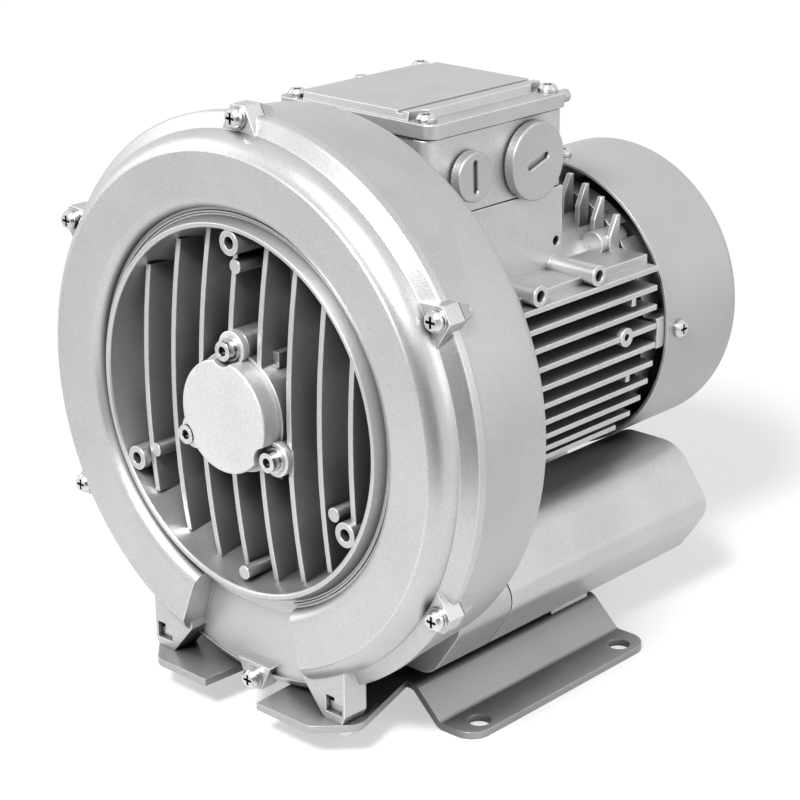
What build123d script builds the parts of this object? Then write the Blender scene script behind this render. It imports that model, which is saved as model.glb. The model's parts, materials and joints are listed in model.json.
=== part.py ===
from build123d import *
from math import cos, sin, sqrt, pi, radians
import os

# Side channel blower: die-cast casing with impeller, integral motor, twin silencers and sheet base.
# Millimetres. +Z is up and the shaft runs along Y: the front cover faces -Y, the fan cowl +Y.
# The origin is the centre of the four base holes, on the underside of the base plate.

os.makedirs("parts", exist_ok=True)

# ---------------------------------------------------------------- driving dimensions
# Base plate: one folded sheet with a raised middle and a tongue under the front legs
hole_pitch_x = 147.0
hole_pitch_y = 90.0
base_hole_dia = 9.5
sheet = 3.0
plate_width = 162.0
plate_length = 114.0
plate_corner = 9.0
hump_width = 99.0
hump_rise = 12.5
web_run = 13.5
bend_radius = 4.0
tongue_reach = 53.0
tongue_flare = 8.0
tongue_tip_cut = 14.0
tongue_corner = 7.0
notch_width = 30.0
notch_depth = 44.0

# Shaft line and the planes along it
casing_lift = 1.2
parting_y = -89.0
rim_height = 15.2
casing_depth = 39.7
recess_depth = 19.7
cover_web = 3.5
casing_web = 4.0
disc_gap = 1.0
impeller_disc = 6.0

# Side channel
channel_mid_r = 91.5
channel_width = 25.0
channel_wall = 4.0
groove_depth = 5.0
groove_outer_r = 79.2
groove_ridge_r = 77.5
groove_ridge = 0.6
face_inner_r = 84.5
face_inner_height = 16.0
face_round_r = 80.9
face_round_height = 14.3
crease_inset = 12.7
crease_height = 17.0
crease_step = 0.5
shoulder_mid_inset = 7.9
shoulder_mid_height = 13.2
shoulder_foot_inset = 5.9
shoulder_foot_height = 7.4
lip_height = 3.6
interrupter_start = 252.0
interrupter_end = 290.0
interrupter_wall = 4.0
interrupter_lap = 4.0
sector_margin = 0.6
lip_land = 3.0
step_width = 5.5
step_height = 3.8
port_passage_dia = 20.0
port_passage_angle = 33.0

# Casing ring
casing_r = 113.8
lip_proud = 0.5
casing_draft = 2.6
casing_edge_r = 5.0
opening_r = 72.0
opening_draft = 3.0
rim_width = 2.0
rim_flank = 2.2
rim_edge = 0.6
lug_count = 6
lug_wall = 4.6
lug_root_depth = 6.3
lug_tip_width = 7.0
lug_root_width = 18.2
lug_depth = 8.0
lug_tail = 8.0
lug_tail_taper = 20.0

# Fins, bosses and hub in the front opening
fin_count = 8
fin_pitch = 16.0
fin_first_x = -52.0
fin_thickness = 2.3
fin_inset = 2.4
fin_end_drop = 7.5
low_rib_r = 40.0
low_rib_height = 5.0
boss_circle_r = 67.2
boss_dia = 9.8
boss_thread_dia = 5.0
boss_thread_depth = 14.0
boss_inset = 0.6
pin_circle_r = 57.5
pin_dia = 5.6
pin_inset = 3.4
hub_r = 24.0
hub_height = 16.5
hub_margin = 1.2
hub_draft = 1.0
hub_hole_floor = 3.0
hub_pad_size = 6.0
hub_pad_height = 10.0
hub_lug_circle_r = 26.0
hub_lug_r = 6.8
cap_relief = 0.8
cap_edge_r = 0.8
cap_screw_head_dia = 7.8
cap_screw_reach = 14.5
cap_r = 22.5
cap_height = 8.6
cap_ear = 3.0
cap_wall = 2.5

# Legs of the front cover
leg_tip_x = 43.2
leg_outer_x = 54.0
leg_foot_x = 52.5
leg_foot_rise = 3.3
leg_root_drop = 6.0
leg_root_x = 32.0
leg_depth = 12.0
leg_merge_r = 101.0
foot_bolt_x = 48.4
foot_bolt_inset = 6.0
nut_side = 8.0
nut_height = 4.0
nut_seat = 3.5
nut_pocket_height = 10.5
nut_play = 0.3

# Impeller
impeller_r = 103.2
impeller_rim_r = 79.8
impeller_rim_wall = 3.0
impeller_rim_width = 22.0
impeller_web = 3.0
blade_count = 36
blade_thickness = 2.2
impeller_hub_r = 14.5
impeller_hub_front = 6.5
relief_holes = 6
relief_hole_dia = 14.0
relief_circle_r = 48.0

# Shaft and bearings
journal_dia = 15.0
bearing_dia = 35.0
bearing_width = 11.0
bearing_ring = 3.2
ball_dia = 5.9
ball_count = 8
ball_play = 0.1
bearing_shoulder = 1.6
impeller_seat_dia = 18.0
seal_seat_dia = 20.0
rotor_seat_dia = 24.0
fan_seat_dia = 14.0
seal_dia = 32.0
seal_width = 7.0
seal_collar_wall = 5.0
seal_shell = 1.5
seal_web = 1.2
seal_lip_length = 4.2
shaft_play = 0.05
key_width = 5.0
key_height = 4.0
clip_thickness = 1.2
clip_groove = 0.6
clip_reach = 3.0
shaft_tail = 2.0
fan_clip_inset = 4.0

# Motor
stator_r = 45.0
housing_wall = 4.0
motor_flange = 7.0
motor_flange_r = 60.0
flange_screw_circle_r = 53.0
flange_screw_count = 4
sink_depth = 2.4
sink_taper = 40.0
housing_end_y = 80.0
fin_tip_r = 63.5
side_fin_pitch = 8.4
side_fin_thickness = 2.2
side_fins_above = 4
side_fins_below = 6
fin_start_clearance = 1.5
core_length = 70.0
core_start_y = -32.0
air_gap = 0.35
rotor_r = 27.0
slot_count = 24
slot_depth = 11.0
slot_width = 3.4
winding_length = 18.0
winding_inner_r = 29.0
winding_outer_r = 42.0
end_ring_length = 7.0
end_ring_inner_r = 17.0
bottom_pad_width = 30.0
bottom_pad_inset = 2.0
slot_bridge = 1.2
winding_edge_r = 3.0
side_boss_y = 2.0
side_boss_pitch = 37.0
side_boss_height = 35.0
side_boss_dia = 8.8
side_boss_reach = 63.5
side_boss_thread_dia = 5.0
side_boss_thread_depth = 14.0
ledge_half_width = 57.0
ledge_thickness = 4.0
ledge_top = 34.0
ledge_back_y = 79.5
top_fin_y = 72.0
top_fin_r = 64.5
top_fin_slant = 4.5
top_fin_drop = 9.0
tab_y = 62.7
tab_width = 2.4
tab_height = 4.4
tab_depth = 9.0
tab_row_top = 2.5
tab_row_low = -1.5
side_hole_rise = 45.2
side_hole_inset = 3.6
side_hole_r = 2.0
side_hole_depth = 8.0
small_boss_y = 58.0
small_boss_rise = 4.2
small_boss_dia = 8.0
small_boss_hole = 3.3

# Rear end shield, fan and cowl
shield_wall = 5.0
shield_r = 56.0
shield_spigot = 5.0
shield_rim_length = 11.0
shield_screw_circle_r = 52.0
shield_screw_count = 4
shield_boss_dia = 11.0
shield_boss_length = 12.0
shield_thread_depth = 10.0
shield_screw_reach = 8.0
shield_recess_dia = 10.4
shield_lug_arc = 12.0
shield_lug_play = 0.3
cowl_r = 64.5
cowl_sheet = 1.3
cowl_front_y = 85.3
cowl_length = 52.8
cowl_edge_r = 5.0
cowl_screw_inset = 7.7
cowl_screw_count = 4
grille_rings = 4
grille_first_r = 14.0
grille_slot_length = 8.0
grille_slot_width = 3.0
grille_ring_gap = 3.0
fan_r = 54.0
fan_length = 24.0
fan_hub_r = 12.0
fan_disc = 2.5
fan_blades = 7
fan_blade_thickness = 2.2
fan_y = 102.0

# Terminal box on the motor
pedestal_rise = 67.8
box_half_width = 40.0
box_front_y = -36.0
box_back_y = 43.5
box_wall = 3.0
box_corner = 5.0
box_height = 31.4
box_seam = 0.6
box_screw_inset = 12.0
box_thread_depth = 12.0
box_screw_reach = 9.0
wire_hole_r = 8.0
wire_hole_play = 1.0
well_margin = 18.0
gasket_thickness = 0.8
lid_overhang = 1.6
lid_edge = 5.6
lid_panel_rise = 3.2
lid_panel_margin = 10.5
lid_end_margin = 1.8
lid_groove_inset = 7.5
lid_groove_width = 3.0
lid_groove_depth = 1.0
lid_screw_pitch_x = 69.0
lid_screw_pitch_y = 72.5
lid_pocket_r = 7.0
lid_post_r = 5.0
lid_thread_depth = 14.0
lid_screw_reach = 11.0
lid_tab_inset = 5.5
lid_tab_r = 2.7
lid_tab_reach = 4.5
lid_stud_y = 4.6
lid_stud_r = 2.6
lid_stud_height = 2.4
lid_stud_inset = 4.0
lid_panel_taper = 12.0
lid_panel_corner = 2.0
large_plug_y = 22.0
large_plug_rise = 14.1
large_plug_dia = 32.0
large_thread_dia = 25.0
small_plug_y = -15.7
small_plug_rise = 14.8
small_plug_dia = 20.0
small_thread_dia = 16.0
plug_head = 4.2
plug_thread_length = 8.0
plug_slot_width = 2.4
plug_slot_length = 13.0
plug_slot_depth = 1.8
plug_edge_r = 0.8
large_slot_tilt = 18.0
small_slot_tilt = 92.0
seal_ring = 1.0
seal_ring_inset = 0.8
earth_x = -20.0
earth_y = -18.0
block_length = 44.0
block_width = 24.0
block_height = 10.0
stud_pitch = 14.0
stud_dia = 4.0
stud_height = 9.0
stud_depth = 5.0
stud_nut_share = 0.8
block_offset_y = 10.0

# Silencers under the motor
silencer_spacing = 76.8
silencer_end_y = 110.0
stub_length = 27.0
tube_half_width = 34.4
tube_flat_half = 16.0
tube_foot_half = 17.0
tube_drop = 59.9
tube_gap = 4.0
tube_round = 11.0
tube_crown = 16.0
tube_wall = 3.5
bridge_rise = 4.5
bridge_thickness = 6.0
core_dia = 33.0
core_sheet = 1.0
core_hole_dia = 5.0
core_hole_rows = 6
port_dia = 39.0
port_length = 20.0
port_collar = 2.0
port_plate = 8.0
tube_screw_inset = 6.3
tube_boss_dia = 9.5
tube_head_dia = 7.0
foot_pad_size = 24.0
foot_boss_height = 9.0
foot_thread_depth = 11.0
tube_boss_length = 12.0
tube_screw_reach = 14.0
port_screw_reach = 9.0
core_seat_length = 5.0
core_hole_margin = 10.0
foam_clearance = 0.3
foam_start_gap = 7.2
rear_bolt_y = 40.0

# Fasteners and running clearances; shares are parts of a head's width or height
pan_rim_share = 0.55
pan_crown_taper = 38.0
recess_span_share = 0.56
recess_width_share = 0.14
socket_share = 0.25
socket_depth_share = 0.6
m6_washer_head_dia = 11.0
m5_dia = 5.0
m5_head_dia = 9.2
m5_head_height = 3.6
m5_washer_dia = 10.0
m4_dia = 4.0
m4_head_dia = 8.0
m4_head_height = 3.0
m4_washer_dia = 9.0
m6_dia = 6.0
m6_head_dia = 10.0
m6_head_height = 4.0
washer_thickness = 1.0
hole_play = 0.2
fit_play = 0.1

# ---------------------------------------------------------------- derived values
plate_front_y = -plate_length / 2
hump_top = hump_rise + sheet
axis_height = hump_top + casing_lift + casing_r
hump_x = hump_width / 2
foot_x = hump_x + web_run
tongue_front_y = plate_front_y - tongue_reach

lip_r = casing_r + lip_proud
crease_r = lip_r - crease_inset
shoulder_mid_r = lip_r - shoulder_mid_inset
shoulder_foot_r = lip_r - shoulder_foot_inset
lug_circle_r = casing_r
rim_y = parting_y - rim_height
face_inner_y = parting_y - face_inner_height
crease_y = parting_y - crease_height
shoulder_foot_y = parting_y - shoulder_foot_height
lip_y = parting_y - lip_height
casing_back_y = parting_y + casing_depth
recess_y = rim_y + recess_depth
cover_web_back_y = recess_y + cover_web
disc_front_y = cover_web_back_y + disc_gap
disc_back_y = disc_front_y + impeller_disc
casing_web_front_y = disc_back_y + disc_gap
casing_web_back_y = casing_web_front_y + casing_web
impeller_mid_y = (disc_front_y + disc_back_y) / 2

channel_r = channel_width / 2
channel_inner_r = channel_mid_r - channel_r
channel_outer_r = channel_mid_r + channel_r
bulge_r = channel_r + channel_wall
rear_arc_y = casing_back_y - channel_wall - channel_r
rim_outer_r = opening_r + rim_width + rim_flank
groove_y = rim_y + groove_depth
interrupter_y = parting_y - interrupter_wall
channel_arc = 360 - (interrupter_end - interrupter_start) - 2 * interrupter_lap
lug_front_y = parting_y - lug_depth
lug_reach = lug_circle_r + lug_wall
lug_root_r = lug_circle_r - lug_root_depth

hub_front_y = recess_y - hub_height
cap_front_y = hub_front_y - cap_height
bearing_r = bearing_dia / 2
journal_r = journal_dia / 2
front_bearing_y = hub_front_y + fit_play
front_bearing_back_y = front_bearing_y + bearing_width
impeller_hub_front_y = disc_front_y - impeller_hub_front
impeller_seat_r = impeller_seat_dia / 2
seal_seat_r = seal_seat_dia / 2
rotor_seat_r = rotor_seat_dia / 2
fan_seat_r = fan_seat_dia / 2

motor_front_y = casing_web_back_y
core_end_y = core_start_y + core_length
shield_front_y = housing_end_y
shield_back_y = shield_front_y + shield_rim_length
rear_bearing_y = housing_end_y - shield_spigot
cowl_back_y = cowl_front_y + cowl_length
cowl_screw_y = cowl_front_y + cowl_screw_inset
housing_r = stator_r + housing_wall
fin_start_y = casing_back_y + fin_start_clearance

pedestal_top = axis_height + pedestal_rise
box_mid_y = (box_front_y + box_back_y) / 2
box_length_y = box_back_y - box_front_y
box_bottom_z = pedestal_top + box_seam
box_top_z = box_bottom_z + box_height
large_plug_z = box_bottom_z + large_plug_rise
small_plug_z = box_bottom_z + small_plug_rise
lid_z = box_top_z + gasket_thickness
lid_top_z = lid_z + lid_edge
lid_screw_points = [
    (sx * lid_screw_pitch_x / 2, box_mid_y + sy * lid_screw_pitch_y / 2)
    for sx in (-1, 1) for sy in (-1, 1)
]

box_screw_points = [
    (sx * (box_half_width - box_screw_inset), box_mid_y + sy * (box_length_y / 2 - box_screw_inset))
    for sx in (-1, 1) for sy in (-1, 1)
]

silencer_x = silencer_spacing / 2
tube_top = axis_height - tube_drop
tube_bottom = hump_top + tube_gap
tube_side = (tube_top + tube_bottom) / 2
bridge_top = tube_side + bridge_rise
stub_back_y = casing_back_y + stub_length
leg_front_y = parting_y - leg_depth
foot_bolt_y = leg_front_y + foot_bolt_inset
core_r = core_dia / 2
tube_screw_x = tube_half_width - tube_wall - tube_screw_inset

shaft_line = Axis((0, 0, axis_height), (0, -1, 0))
lug_angles = [30 + 360 / lug_count * i for i in range(lug_count)]
hub_angles = [90, 210, 330]
flange_screw_angles = [45 + 360 / flange_screw_count * i for i in range(flange_screw_count)]
shield_screw_angles = [45 + 360 / shield_screw_count * i for i in range(shield_screw_count)]
cowl_screw_angles = [360 / cowl_screw_count * i for i in range(cowl_screw_count)]


# ---------------------------------------------------------------- helpers
def across(y, height=axis_height):
    """Plane square to the shaft at station y, facing forwards, centred on the given height."""
    return Plane(origin=(0, y, height), x_dir=(1, 0, 0), z_dir=(0, -1, 0))


def radial(angle):
    """Plane through the shaft line at an angle above +X: first axis outwards, second axis +Y."""
    a = radians(angle)
    return Plane(origin=(0, 0, axis_height), x_dir=(cos(a), 0, sin(a)), z_dir=(-sin(a), 0, cos(a)))


def polar(radius, angle):
    """Point on a circle about the shaft line, as X and height above that line."""
    return radius * cos(radians(angle)), radius * sin(radians(angle))


def disc(radius, y_from, y_to, mode=Mode.ADD, centre=(0, 0)):
    """Cylinder along the shaft direction between two stations."""
    with BuildSketch(across(y_to)) as outline:
        with Locations(centre):
            Circle(radius)
    extrude(outline.sketch, amount=y_to - y_from, mode=mode)


def ring(outer, inner, y_from, y_to):
    """Plain ring about the shaft line between two stations."""
    with BuildSketch(across(y_to)) as outline:
        Circle(outer)
        Circle(inner, mode=Mode.SUBTRACT)
    extrude(outline.sketch, amount=y_to - y_from)


def ring_part(r_in, r_out, y_from, y_to, start, arc, mode=Mode.ADD):
    """Rectangular section turned about the shaft line through part of a circle."""
    with BuildSketch(radial(start)) as section:
        with Locations(((r_in + r_out) / 2, (y_from + y_to) / 2)):
            Rectangle(r_out - r_in, y_to - y_from)
    revolve(section.sketch, axis=shaft_line, revolution_arc=arc, mode=mode)


def block(x_from, x_to, y_from, y_to, z_from, z_to, mode=Mode.ADD):
    """Rectangular block between three pairs of limits."""
    with BuildSketch(Plane.XY.offset(z_from)) as outline:
        with Locations(((x_from + x_to) / 2, (y_from + y_to) / 2)):
            Rectangle(x_to - x_from, y_to - y_from)
    extrude(outline.sketch, amount=z_to - z_from, mode=mode)


def rod(plane, radius, length, mode=Mode.ADD):
    """Cylinder of a given length standing on a plane."""
    with BuildSketch(plane) as outline:
        Circle(radius)
    extrude(outline.sketch, amount=length, mode=mode)


def cross_recess(plane, span, width, depth):
    """Cross recess sunk into a screw head whose top lies on the plane."""
    with BuildSketch(plane) as outline:
        Rectangle(span, width)
        Rectangle(width, span)
    extrude(outline.sketch, amount=-depth, mode=Mode.SUBTRACT)


def pan_screw(seat, head_dia, head_height, dia, length):
    """Pan-head screw: the head stands on the seat plane and the shank runs into it."""
    rim = head_height * pan_rim_share
    rod(seat, head_dia / 2, rim)
    with BuildSketch(seat.offset(rim)) as crown:
        Circle(head_dia / 2)
    extrude(crown.sketch, amount=head_height - rim, taper=pan_crown_taper)
    rod(seat, dia / 2, -length)
    cross_recess(seat.offset(head_height), head_dia * recess_span_share, head_dia * recess_width_share, rim)


def socket_screw(seat, head_dia, head_height, dia, length):
    """Cylinder-head screw with a round socket."""
    rod(seat, head_dia / 2, head_height)
    rod(seat, dia / 2, -length)
    rod(seat.offset(head_height), head_dia * socket_share, -head_height * socket_depth_share, Mode.SUBTRACT)


def flat_washer(seat, outer_dia, hole_dia, thickness):
    """Washer lying on a plane."""
    with BuildSketch(seat) as outline:
        Circle(outer_dia / 2)
        Circle(hole_dia / 2, mode=Mode.SUBTRACT)
    extrude(outline.sketch, amount=thickness)


def at_polar(y, radius, angle):
    """Forward-facing plane centred on a polar point."""
    x, up = polar(radius, angle)
    return Plane(origin=(x, y, axis_height + up), x_dir=(1, 0, 0), z_dir=(0, -1, 0))


def facing_up(x, y, z):
    """Plane facing upwards at a point."""
    return Plane(origin=(x, y, z), x_dir=(1, 0, 0), z_dir=(0, 0, 1))


def facing_back(x, y, z):
    """Plane facing the rear at a point."""
    return Plane(origin=(x, y, z), x_dir=(1, 0, 0), z_dir=(0, 1, 0))


def facing_out(radius, y, angle):
    """Plane square to a radius of the shaft line, facing outwards."""
    x, up = polar(radius, angle)
    a = radians(angle)
    return Plane(origin=(x, y, axis_height + up), x_dir=(0, 1, 0), z_dir=(cos(a), 0, sin(a)))


def facing_side(side, x, y, z):
    """Plane facing right (1) or left (-1)."""
    return Plane(origin=(side * x, y, z), x_dir=(0, 1, 0), z_dir=(side, 0, 0))


def lug_outline(root_r, reach, root_width, tip_width):
    """Outlines of the trapezoid lugs, all round the casing."""
    with PolarLocations(0, lug_count, start_angle=lug_angles[0]):
        Polygon(
            (root_r, -root_width / 2), (reach, -tip_width / 2),
            (reach, tip_width / 2), (root_r, root_width / 2), align=None,
        )


def tube_face(y, side, wall=0.0):
    """Sketch of one silencer section at a station, on the left (-1) or right (+1) side."""
    with BuildSketch(Plane(origin=(side * silencer_x, y, 0), x_dir=(1, 0, 0), z_dir=(0, -1, 0))) as face:
        with BuildLine():
            Polyline(
                (-tube_flat_half, tube_top), (tube_flat_half, tube_top), (tube_half_width, tube_side),
                (tube_foot_half, tube_bottom), (-tube_foot_half, tube_bottom),
                (-tube_half_width, tube_side), close=True,
            )
        make_face()
        fillet(face.vertices().group_by(Axis.Y)[0] + face.vertices().group_by(Axis.Y)[1], radius=tube_round)
        fillet(face.vertices().group_by(Axis.Y)[-1], radius=tube_crown)
        if wall > 0:
            offset(amount=-wall, mode=Mode.REPLACE)
    return face.sketch


# ---------------------------------------------------------------- base plate
with BuildPart() as base_plate:
    with BuildSketch(across(-plate_front_y, 0)):
        with BuildLine():
            FilletPolyline(
                (-plate_width / 2, sheet / 2), (-foot_x, sheet / 2),
                (-hump_x, hump_top - sheet / 2), (hump_x, hump_top - sheet / 2),
                (foot_x, sheet / 2), (plate_width / 2, sheet / 2), radius=bend_radius,
            )
        trace(line_width=sheet)
    extrude(amount=plate_length)
    for side in (-1, 1):
        edge_x = side * plate_width / 2
        corners = base_plate.edges().filter_by(Axis.Z).filter_by_position(
            Axis.X, edge_x - fit_play, edge_x + fit_play)
        fillet(corners, radius=plate_corner)
    tongue_x = hump_x + tongue_flare
    with BuildSketch(Plane.XY.offset(hump_rise)) as tongue:
        with BuildLine():
            Polyline(
                (-hump_x + bend_radius, 0), (-hump_x + bend_radius, plate_front_y),
                (-tongue_x, tongue_front_y + tongue_tip_cut), (-tongue_x + tongue_tip_cut, tongue_front_y),
                (tongue_x - tongue_tip_cut, tongue_front_y), (tongue_x, tongue_front_y + tongue_tip_cut),
                (hump_x - bend_radius, plate_front_y), (hump_x - bend_radius, 0), close=True,
            )
        make_face()
        fillet(tongue.vertices().group_by(Axis.Y)[0] + tongue.vertices().group_by(Axis.Y)[1],
               radius=tongue_corner)
    extrude(amount=sheet)
    with BuildSketch(Plane.XY.offset(hump_rise)):
        with BuildLine():
            Polyline(
                (-notch_width / 2, tongue_front_y - sheet), (notch_width / 2, tongue_front_y - sheet),
                (notch_width / 2 - sheet, tongue_front_y + notch_depth),
                (-notch_width / 2 + sheet, tongue_front_y + notch_depth), close=True,
            )
        make_face()
    extrude(amount=sheet, mode=Mode.SUBTRACT)
    with BuildSketch(Plane.XY):
        with GridLocations(hole_pitch_x, hole_pitch_y, 2, 2):
            Circle(base_hole_dia / 2)
    extrude(amount=sheet, mode=Mode.SUBTRACT)
    with BuildSketch(Plane.XY.offset(hump_rise)):
        with Locations((-foot_bolt_x, foot_bolt_y), (foot_bolt_x, foot_bolt_y)):
            Circle(m5_dia / 2 + hole_play)
        with Locations((-silencer_x, rear_bolt_y), (silencer_x, rear_bolt_y)):
            Circle(m6_dia / 2 + hole_play)
    extrude(amount=sheet, mode=Mode.SUBTRACT)

base_plate.part.label = "base_plate"
export_step(base_plate.part, "parts/base_plate.step")

# ---------------------------------------------------------------- front cover
with BuildPart() as front_cover:
    with BuildSketch(radial(0)):
        with BuildLine():
            Polyline(
                (channel_inner_r, parting_y), (channel_inner_r, cover_web_back_y),
                (impeller_hub_r + 2 * disc_gap, cover_web_back_y),
                (impeller_hub_r + 2 * disc_gap, front_bearing_back_y + bearing_shoulder),
                (bearing_r - bearing_ring, front_bearing_back_y + bearing_shoulder),
                (bearing_r - bearing_ring, front_bearing_back_y),
                (bearing_r, front_bearing_back_y), (bearing_r, hub_front_y),
                (hub_r, hub_front_y), (hub_r + hub_draft, recess_y),
                (opening_r - opening_draft, recess_y), (opening_r, rim_y + rim_edge),
                (opening_r + rim_edge, rim_y), (opening_r + rim_width, rim_y),
                (rim_outer_r, groove_y), (groove_ridge_r - groove_ridge, groove_y),
                (groove_ridge_r - groove_ridge / 2, groove_y - groove_ridge),
                (groove_ridge_r + groove_ridge / 2, groove_y - groove_ridge),
                (groove_ridge_r + groove_ridge, groove_y), (groove_outer_r, groove_y),
            )
            ThreePointArc(
                (groove_outer_r, groove_y), (face_round_r, parting_y - face_round_height),
                (face_inner_r, face_inner_y),
            )
            Polyline(
                (face_inner_r, face_inner_y), (crease_r, crease_y),
                (crease_r + crease_step / 2, crease_y + crease_step),
            )
            ThreePointArc(
                (crease_r + crease_step / 2, crease_y + crease_step),
                (shoulder_mid_r, parting_y - shoulder_mid_height), (shoulder_foot_r, shoulder_foot_y),
            )
            Polyline(
                (shoulder_foot_r, shoulder_foot_y), (lip_r - rim_edge, lip_y - rim_edge),
                (lip_r, lip_y), (lip_r, parting_y), (channel_inner_r, parting_y),
            )
        make_face()
    revolve(axis=shaft_line)

    # the bulge is missing in front of the interrupter, and the floor there steps up to the rim
    ring_part(rim_outer_r + sector_margin, lip_r - lip_land, crease_y - disc_gap, interrupter_y,
              interrupter_start, interrupter_end - interrupter_start, Mode.SUBTRACT)
    ring_part(rim_outer_r - rim_width / 2, rim_outer_r + step_width, interrupter_y - step_height,
              interrupter_y + channel_wall / 2, interrupter_start, interrupter_end - interrupter_start)

    # upright fins with bowed front edges, and low ribs between them close to the hub
    for i in range(fin_count):
        x = fin_first_x + fin_pitch * i
        reach = sqrt((opening_r - opening_draft / 2) ** 2 - x**2)
        front = rim_y + fin_inset
        drop = fin_end_drop * (reach / opening_r) ** 2
        with BuildSketch(Plane.YZ.offset(x - fin_thickness / 2)):
            with BuildLine():
                ThreePointArc(
                    (front + drop, axis_height - reach), (front, axis_height),
                    (front + drop, axis_height + reach),
                )
                Polyline(
                    (front + drop, axis_height + reach), (recess_y + cover_web / 2, axis_height + reach),
                    (recess_y + cover_web / 2, axis_height - reach), (front + drop, axis_height - reach),
                )
            make_face()
        extrude(amount=fin_thickness)
    for i in range(fin_count - 1):
        x = fin_first_x + fin_pitch * (i + 0.5)
        if abs(x) < low_rib_r:
            reach = sqrt(low_rib_r**2 - x**2)
            block(x - fin_thickness / 2, x + fin_thickness / 2, recess_y - low_rib_height,
                  recess_y + cover_web / 2, axis_height - reach, axis_height + reach)

    # hub with three screw lugs and six pads; nothing stands in front of the bearing cap's seat
    disc(hub_r, hub_front_y, recess_y)
    for angle in hub_angles:
        disc(hub_lug_r, hub_front_y, recess_y, centre=polar(hub_lug_circle_r, angle))
    for i in range(6):
        x, up = polar(hub_r + hub_pad_size / 3, 60 * i)
        block(x - hub_pad_size / 2, x + hub_pad_size / 2, recess_y - hub_pad_height, recess_y,
              axis_height + up - hub_pad_size / 2, axis_height + up + hub_pad_size / 2)
    disc(hub_r + hub_margin, rim_y - 2 * rim_width, hub_front_y, Mode.SUBTRACT)
    for angle in hub_angles:
        disc(hub_lug_r + hub_margin, rim_y - 2 * rim_width, hub_front_y, Mode.SUBTRACT,
             polar(hub_lug_circle_r, angle))
    disc(bearing_r, hub_front_y, front_bearing_back_y, Mode.SUBTRACT)
    disc(bearing_r - bearing_ring, front_bearing_back_y, front_bearing_back_y + bearing_shoulder,
         Mode.SUBTRACT)
    disc(impeller_hub_r + 2 * disc_gap, front_bearing_back_y + bearing_shoulder, cover_web_back_y,
         Mode.SUBTRACT)
    for angle in hub_angles:
        disc(m5_dia / 2 + hole_play, hub_front_y, recess_y - hub_hole_floor, Mode.SUBTRACT,
             polar(hub_lug_circle_r, angle))

    # threaded bosses at the rim, ejector pins beside them and one at the bottom
    for angle in hub_angles:
        disc(boss_dia / 2, rim_y + boss_inset, recess_y, centre=polar(boss_circle_r, angle))
        disc(pin_dia / 2, rim_y + pin_inset, recess_y, centre=polar(pin_circle_r, angle))
    disc(pin_dia / 2, rim_y + pin_inset, recess_y, centre=polar(boss_circle_r, 270))
    for angle in hub_angles:
        disc(boss_thread_dia / 2, rim_y, rim_y + boss_inset + boss_thread_depth, Mode.SUBTRACT,
             polar(boss_circle_r, angle))

    # lugs round the casing
    with BuildSketch(across(parting_y)):
        lug_outline(lug_root_r, lug_reach, lug_root_width, lug_tip_width)
    extrude(amount=parting_y - lug_front_y)

    # two legs, each with a pocket open to the front for a square nut
    for side in (-1, 1):
        root_z = axis_height - sqrt(leg_merge_r**2 - leg_root_x**2)
        outer_z = axis_height - sqrt(leg_merge_r**2 - leg_outer_x**2)
        with BuildSketch(across(parting_y, 0)):
            with BuildLine():
                Polyline(
                    (side * leg_tip_x, hump_top), (side * leg_foot_x, hump_top),
                    (side * leg_outer_x, hump_top + leg_foot_rise), (side * leg_outer_x, outer_z),
                    (side * leg_root_x, root_z), (side * leg_root_x, root_z - leg_root_drop), close=True,
                )
            make_face()
        extrude(amount=leg_depth)
    for side in (-1, 1):
        pocket = nut_side / 2 + nut_play
        pocket_z = hump_top + nut_seat
        block(side * foot_bolt_x - pocket, side * foot_bolt_x + pocket, leg_front_y,
              foot_bolt_y + pocket, pocket_z, pocket_z + nut_height + nut_play, Mode.SUBTRACT)
        block(side * foot_bolt_x - pocket, side * foot_bolt_x + nut_play, leg_front_y,
              foot_bolt_y + nut_play, pocket_z, hump_top + nut_pocket_height, Mode.SUBTRACT)
        rod(facing_up(side * foot_bolt_x, foot_bolt_y, hump_top),
            m5_dia / 2 + hole_play, 2 * nut_seat + nut_height, Mode.SUBTRACT)

    for angle in lug_angles:
        disc(m4_dia / 2 + hole_play, lug_front_y, parting_y, Mode.SUBTRACT,
             polar(lug_circle_r, angle))

    # half of the side channel, all round but for the interrupter
    with BuildSketch(radial(interrupter_end + interrupter_lap)) as half_channel:
        with Locations((channel_mid_r, parting_y)):
            Circle(channel_r)
    revolve(half_channel.sketch, axis=shaft_line, revolution_arc=channel_arc, mode=Mode.SUBTRACT)

front_cover.part.label = "front_cover"
export_step(front_cover.part, "parts/front_cover.step")

# ---------------------------------------------------------------- bearing cap on the hub
with BuildPart() as bearing_cap:
    disc(cap_r, cap_front_y, hub_front_y)
    fillet(bearing_cap.edges().group_by(Axis.Y)[0], radius=cap_edge_r)
    for angle in hub_angles:
        disc(hub_lug_r - cap_relief, cap_front_y, hub_front_y - cap_ear, Mode.SUBTRACT,
             polar(hub_lug_circle_r, angle))
        disc(hub_lug_r, hub_front_y - cap_ear, hub_front_y, centre=polar(hub_lug_circle_r, angle))
    disc(bearing_r - bearing_ring, hub_front_y - cap_height + cap_wall, hub_front_y, Mode.SUBTRACT)
    for angle in hub_angles:
        disc(m5_dia / 2 + hole_play, hub_front_y - cap_ear, hub_front_y, Mode.SUBTRACT,
             polar(hub_lug_circle_r, angle))

bearing_cap.part.label = "bearing_cap"
export_step(bearing_cap.part, "parts/bearing_cap.step")

with BuildPart() as bearing_cap_washers:
    for angle in hub_angles:
        flat_washer(at_polar(hub_front_y - cap_ear, hub_lug_circle_r, angle),
                    m5_washer_dia, m5_dia + 2 * hole_play, washer_thickness)

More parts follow.
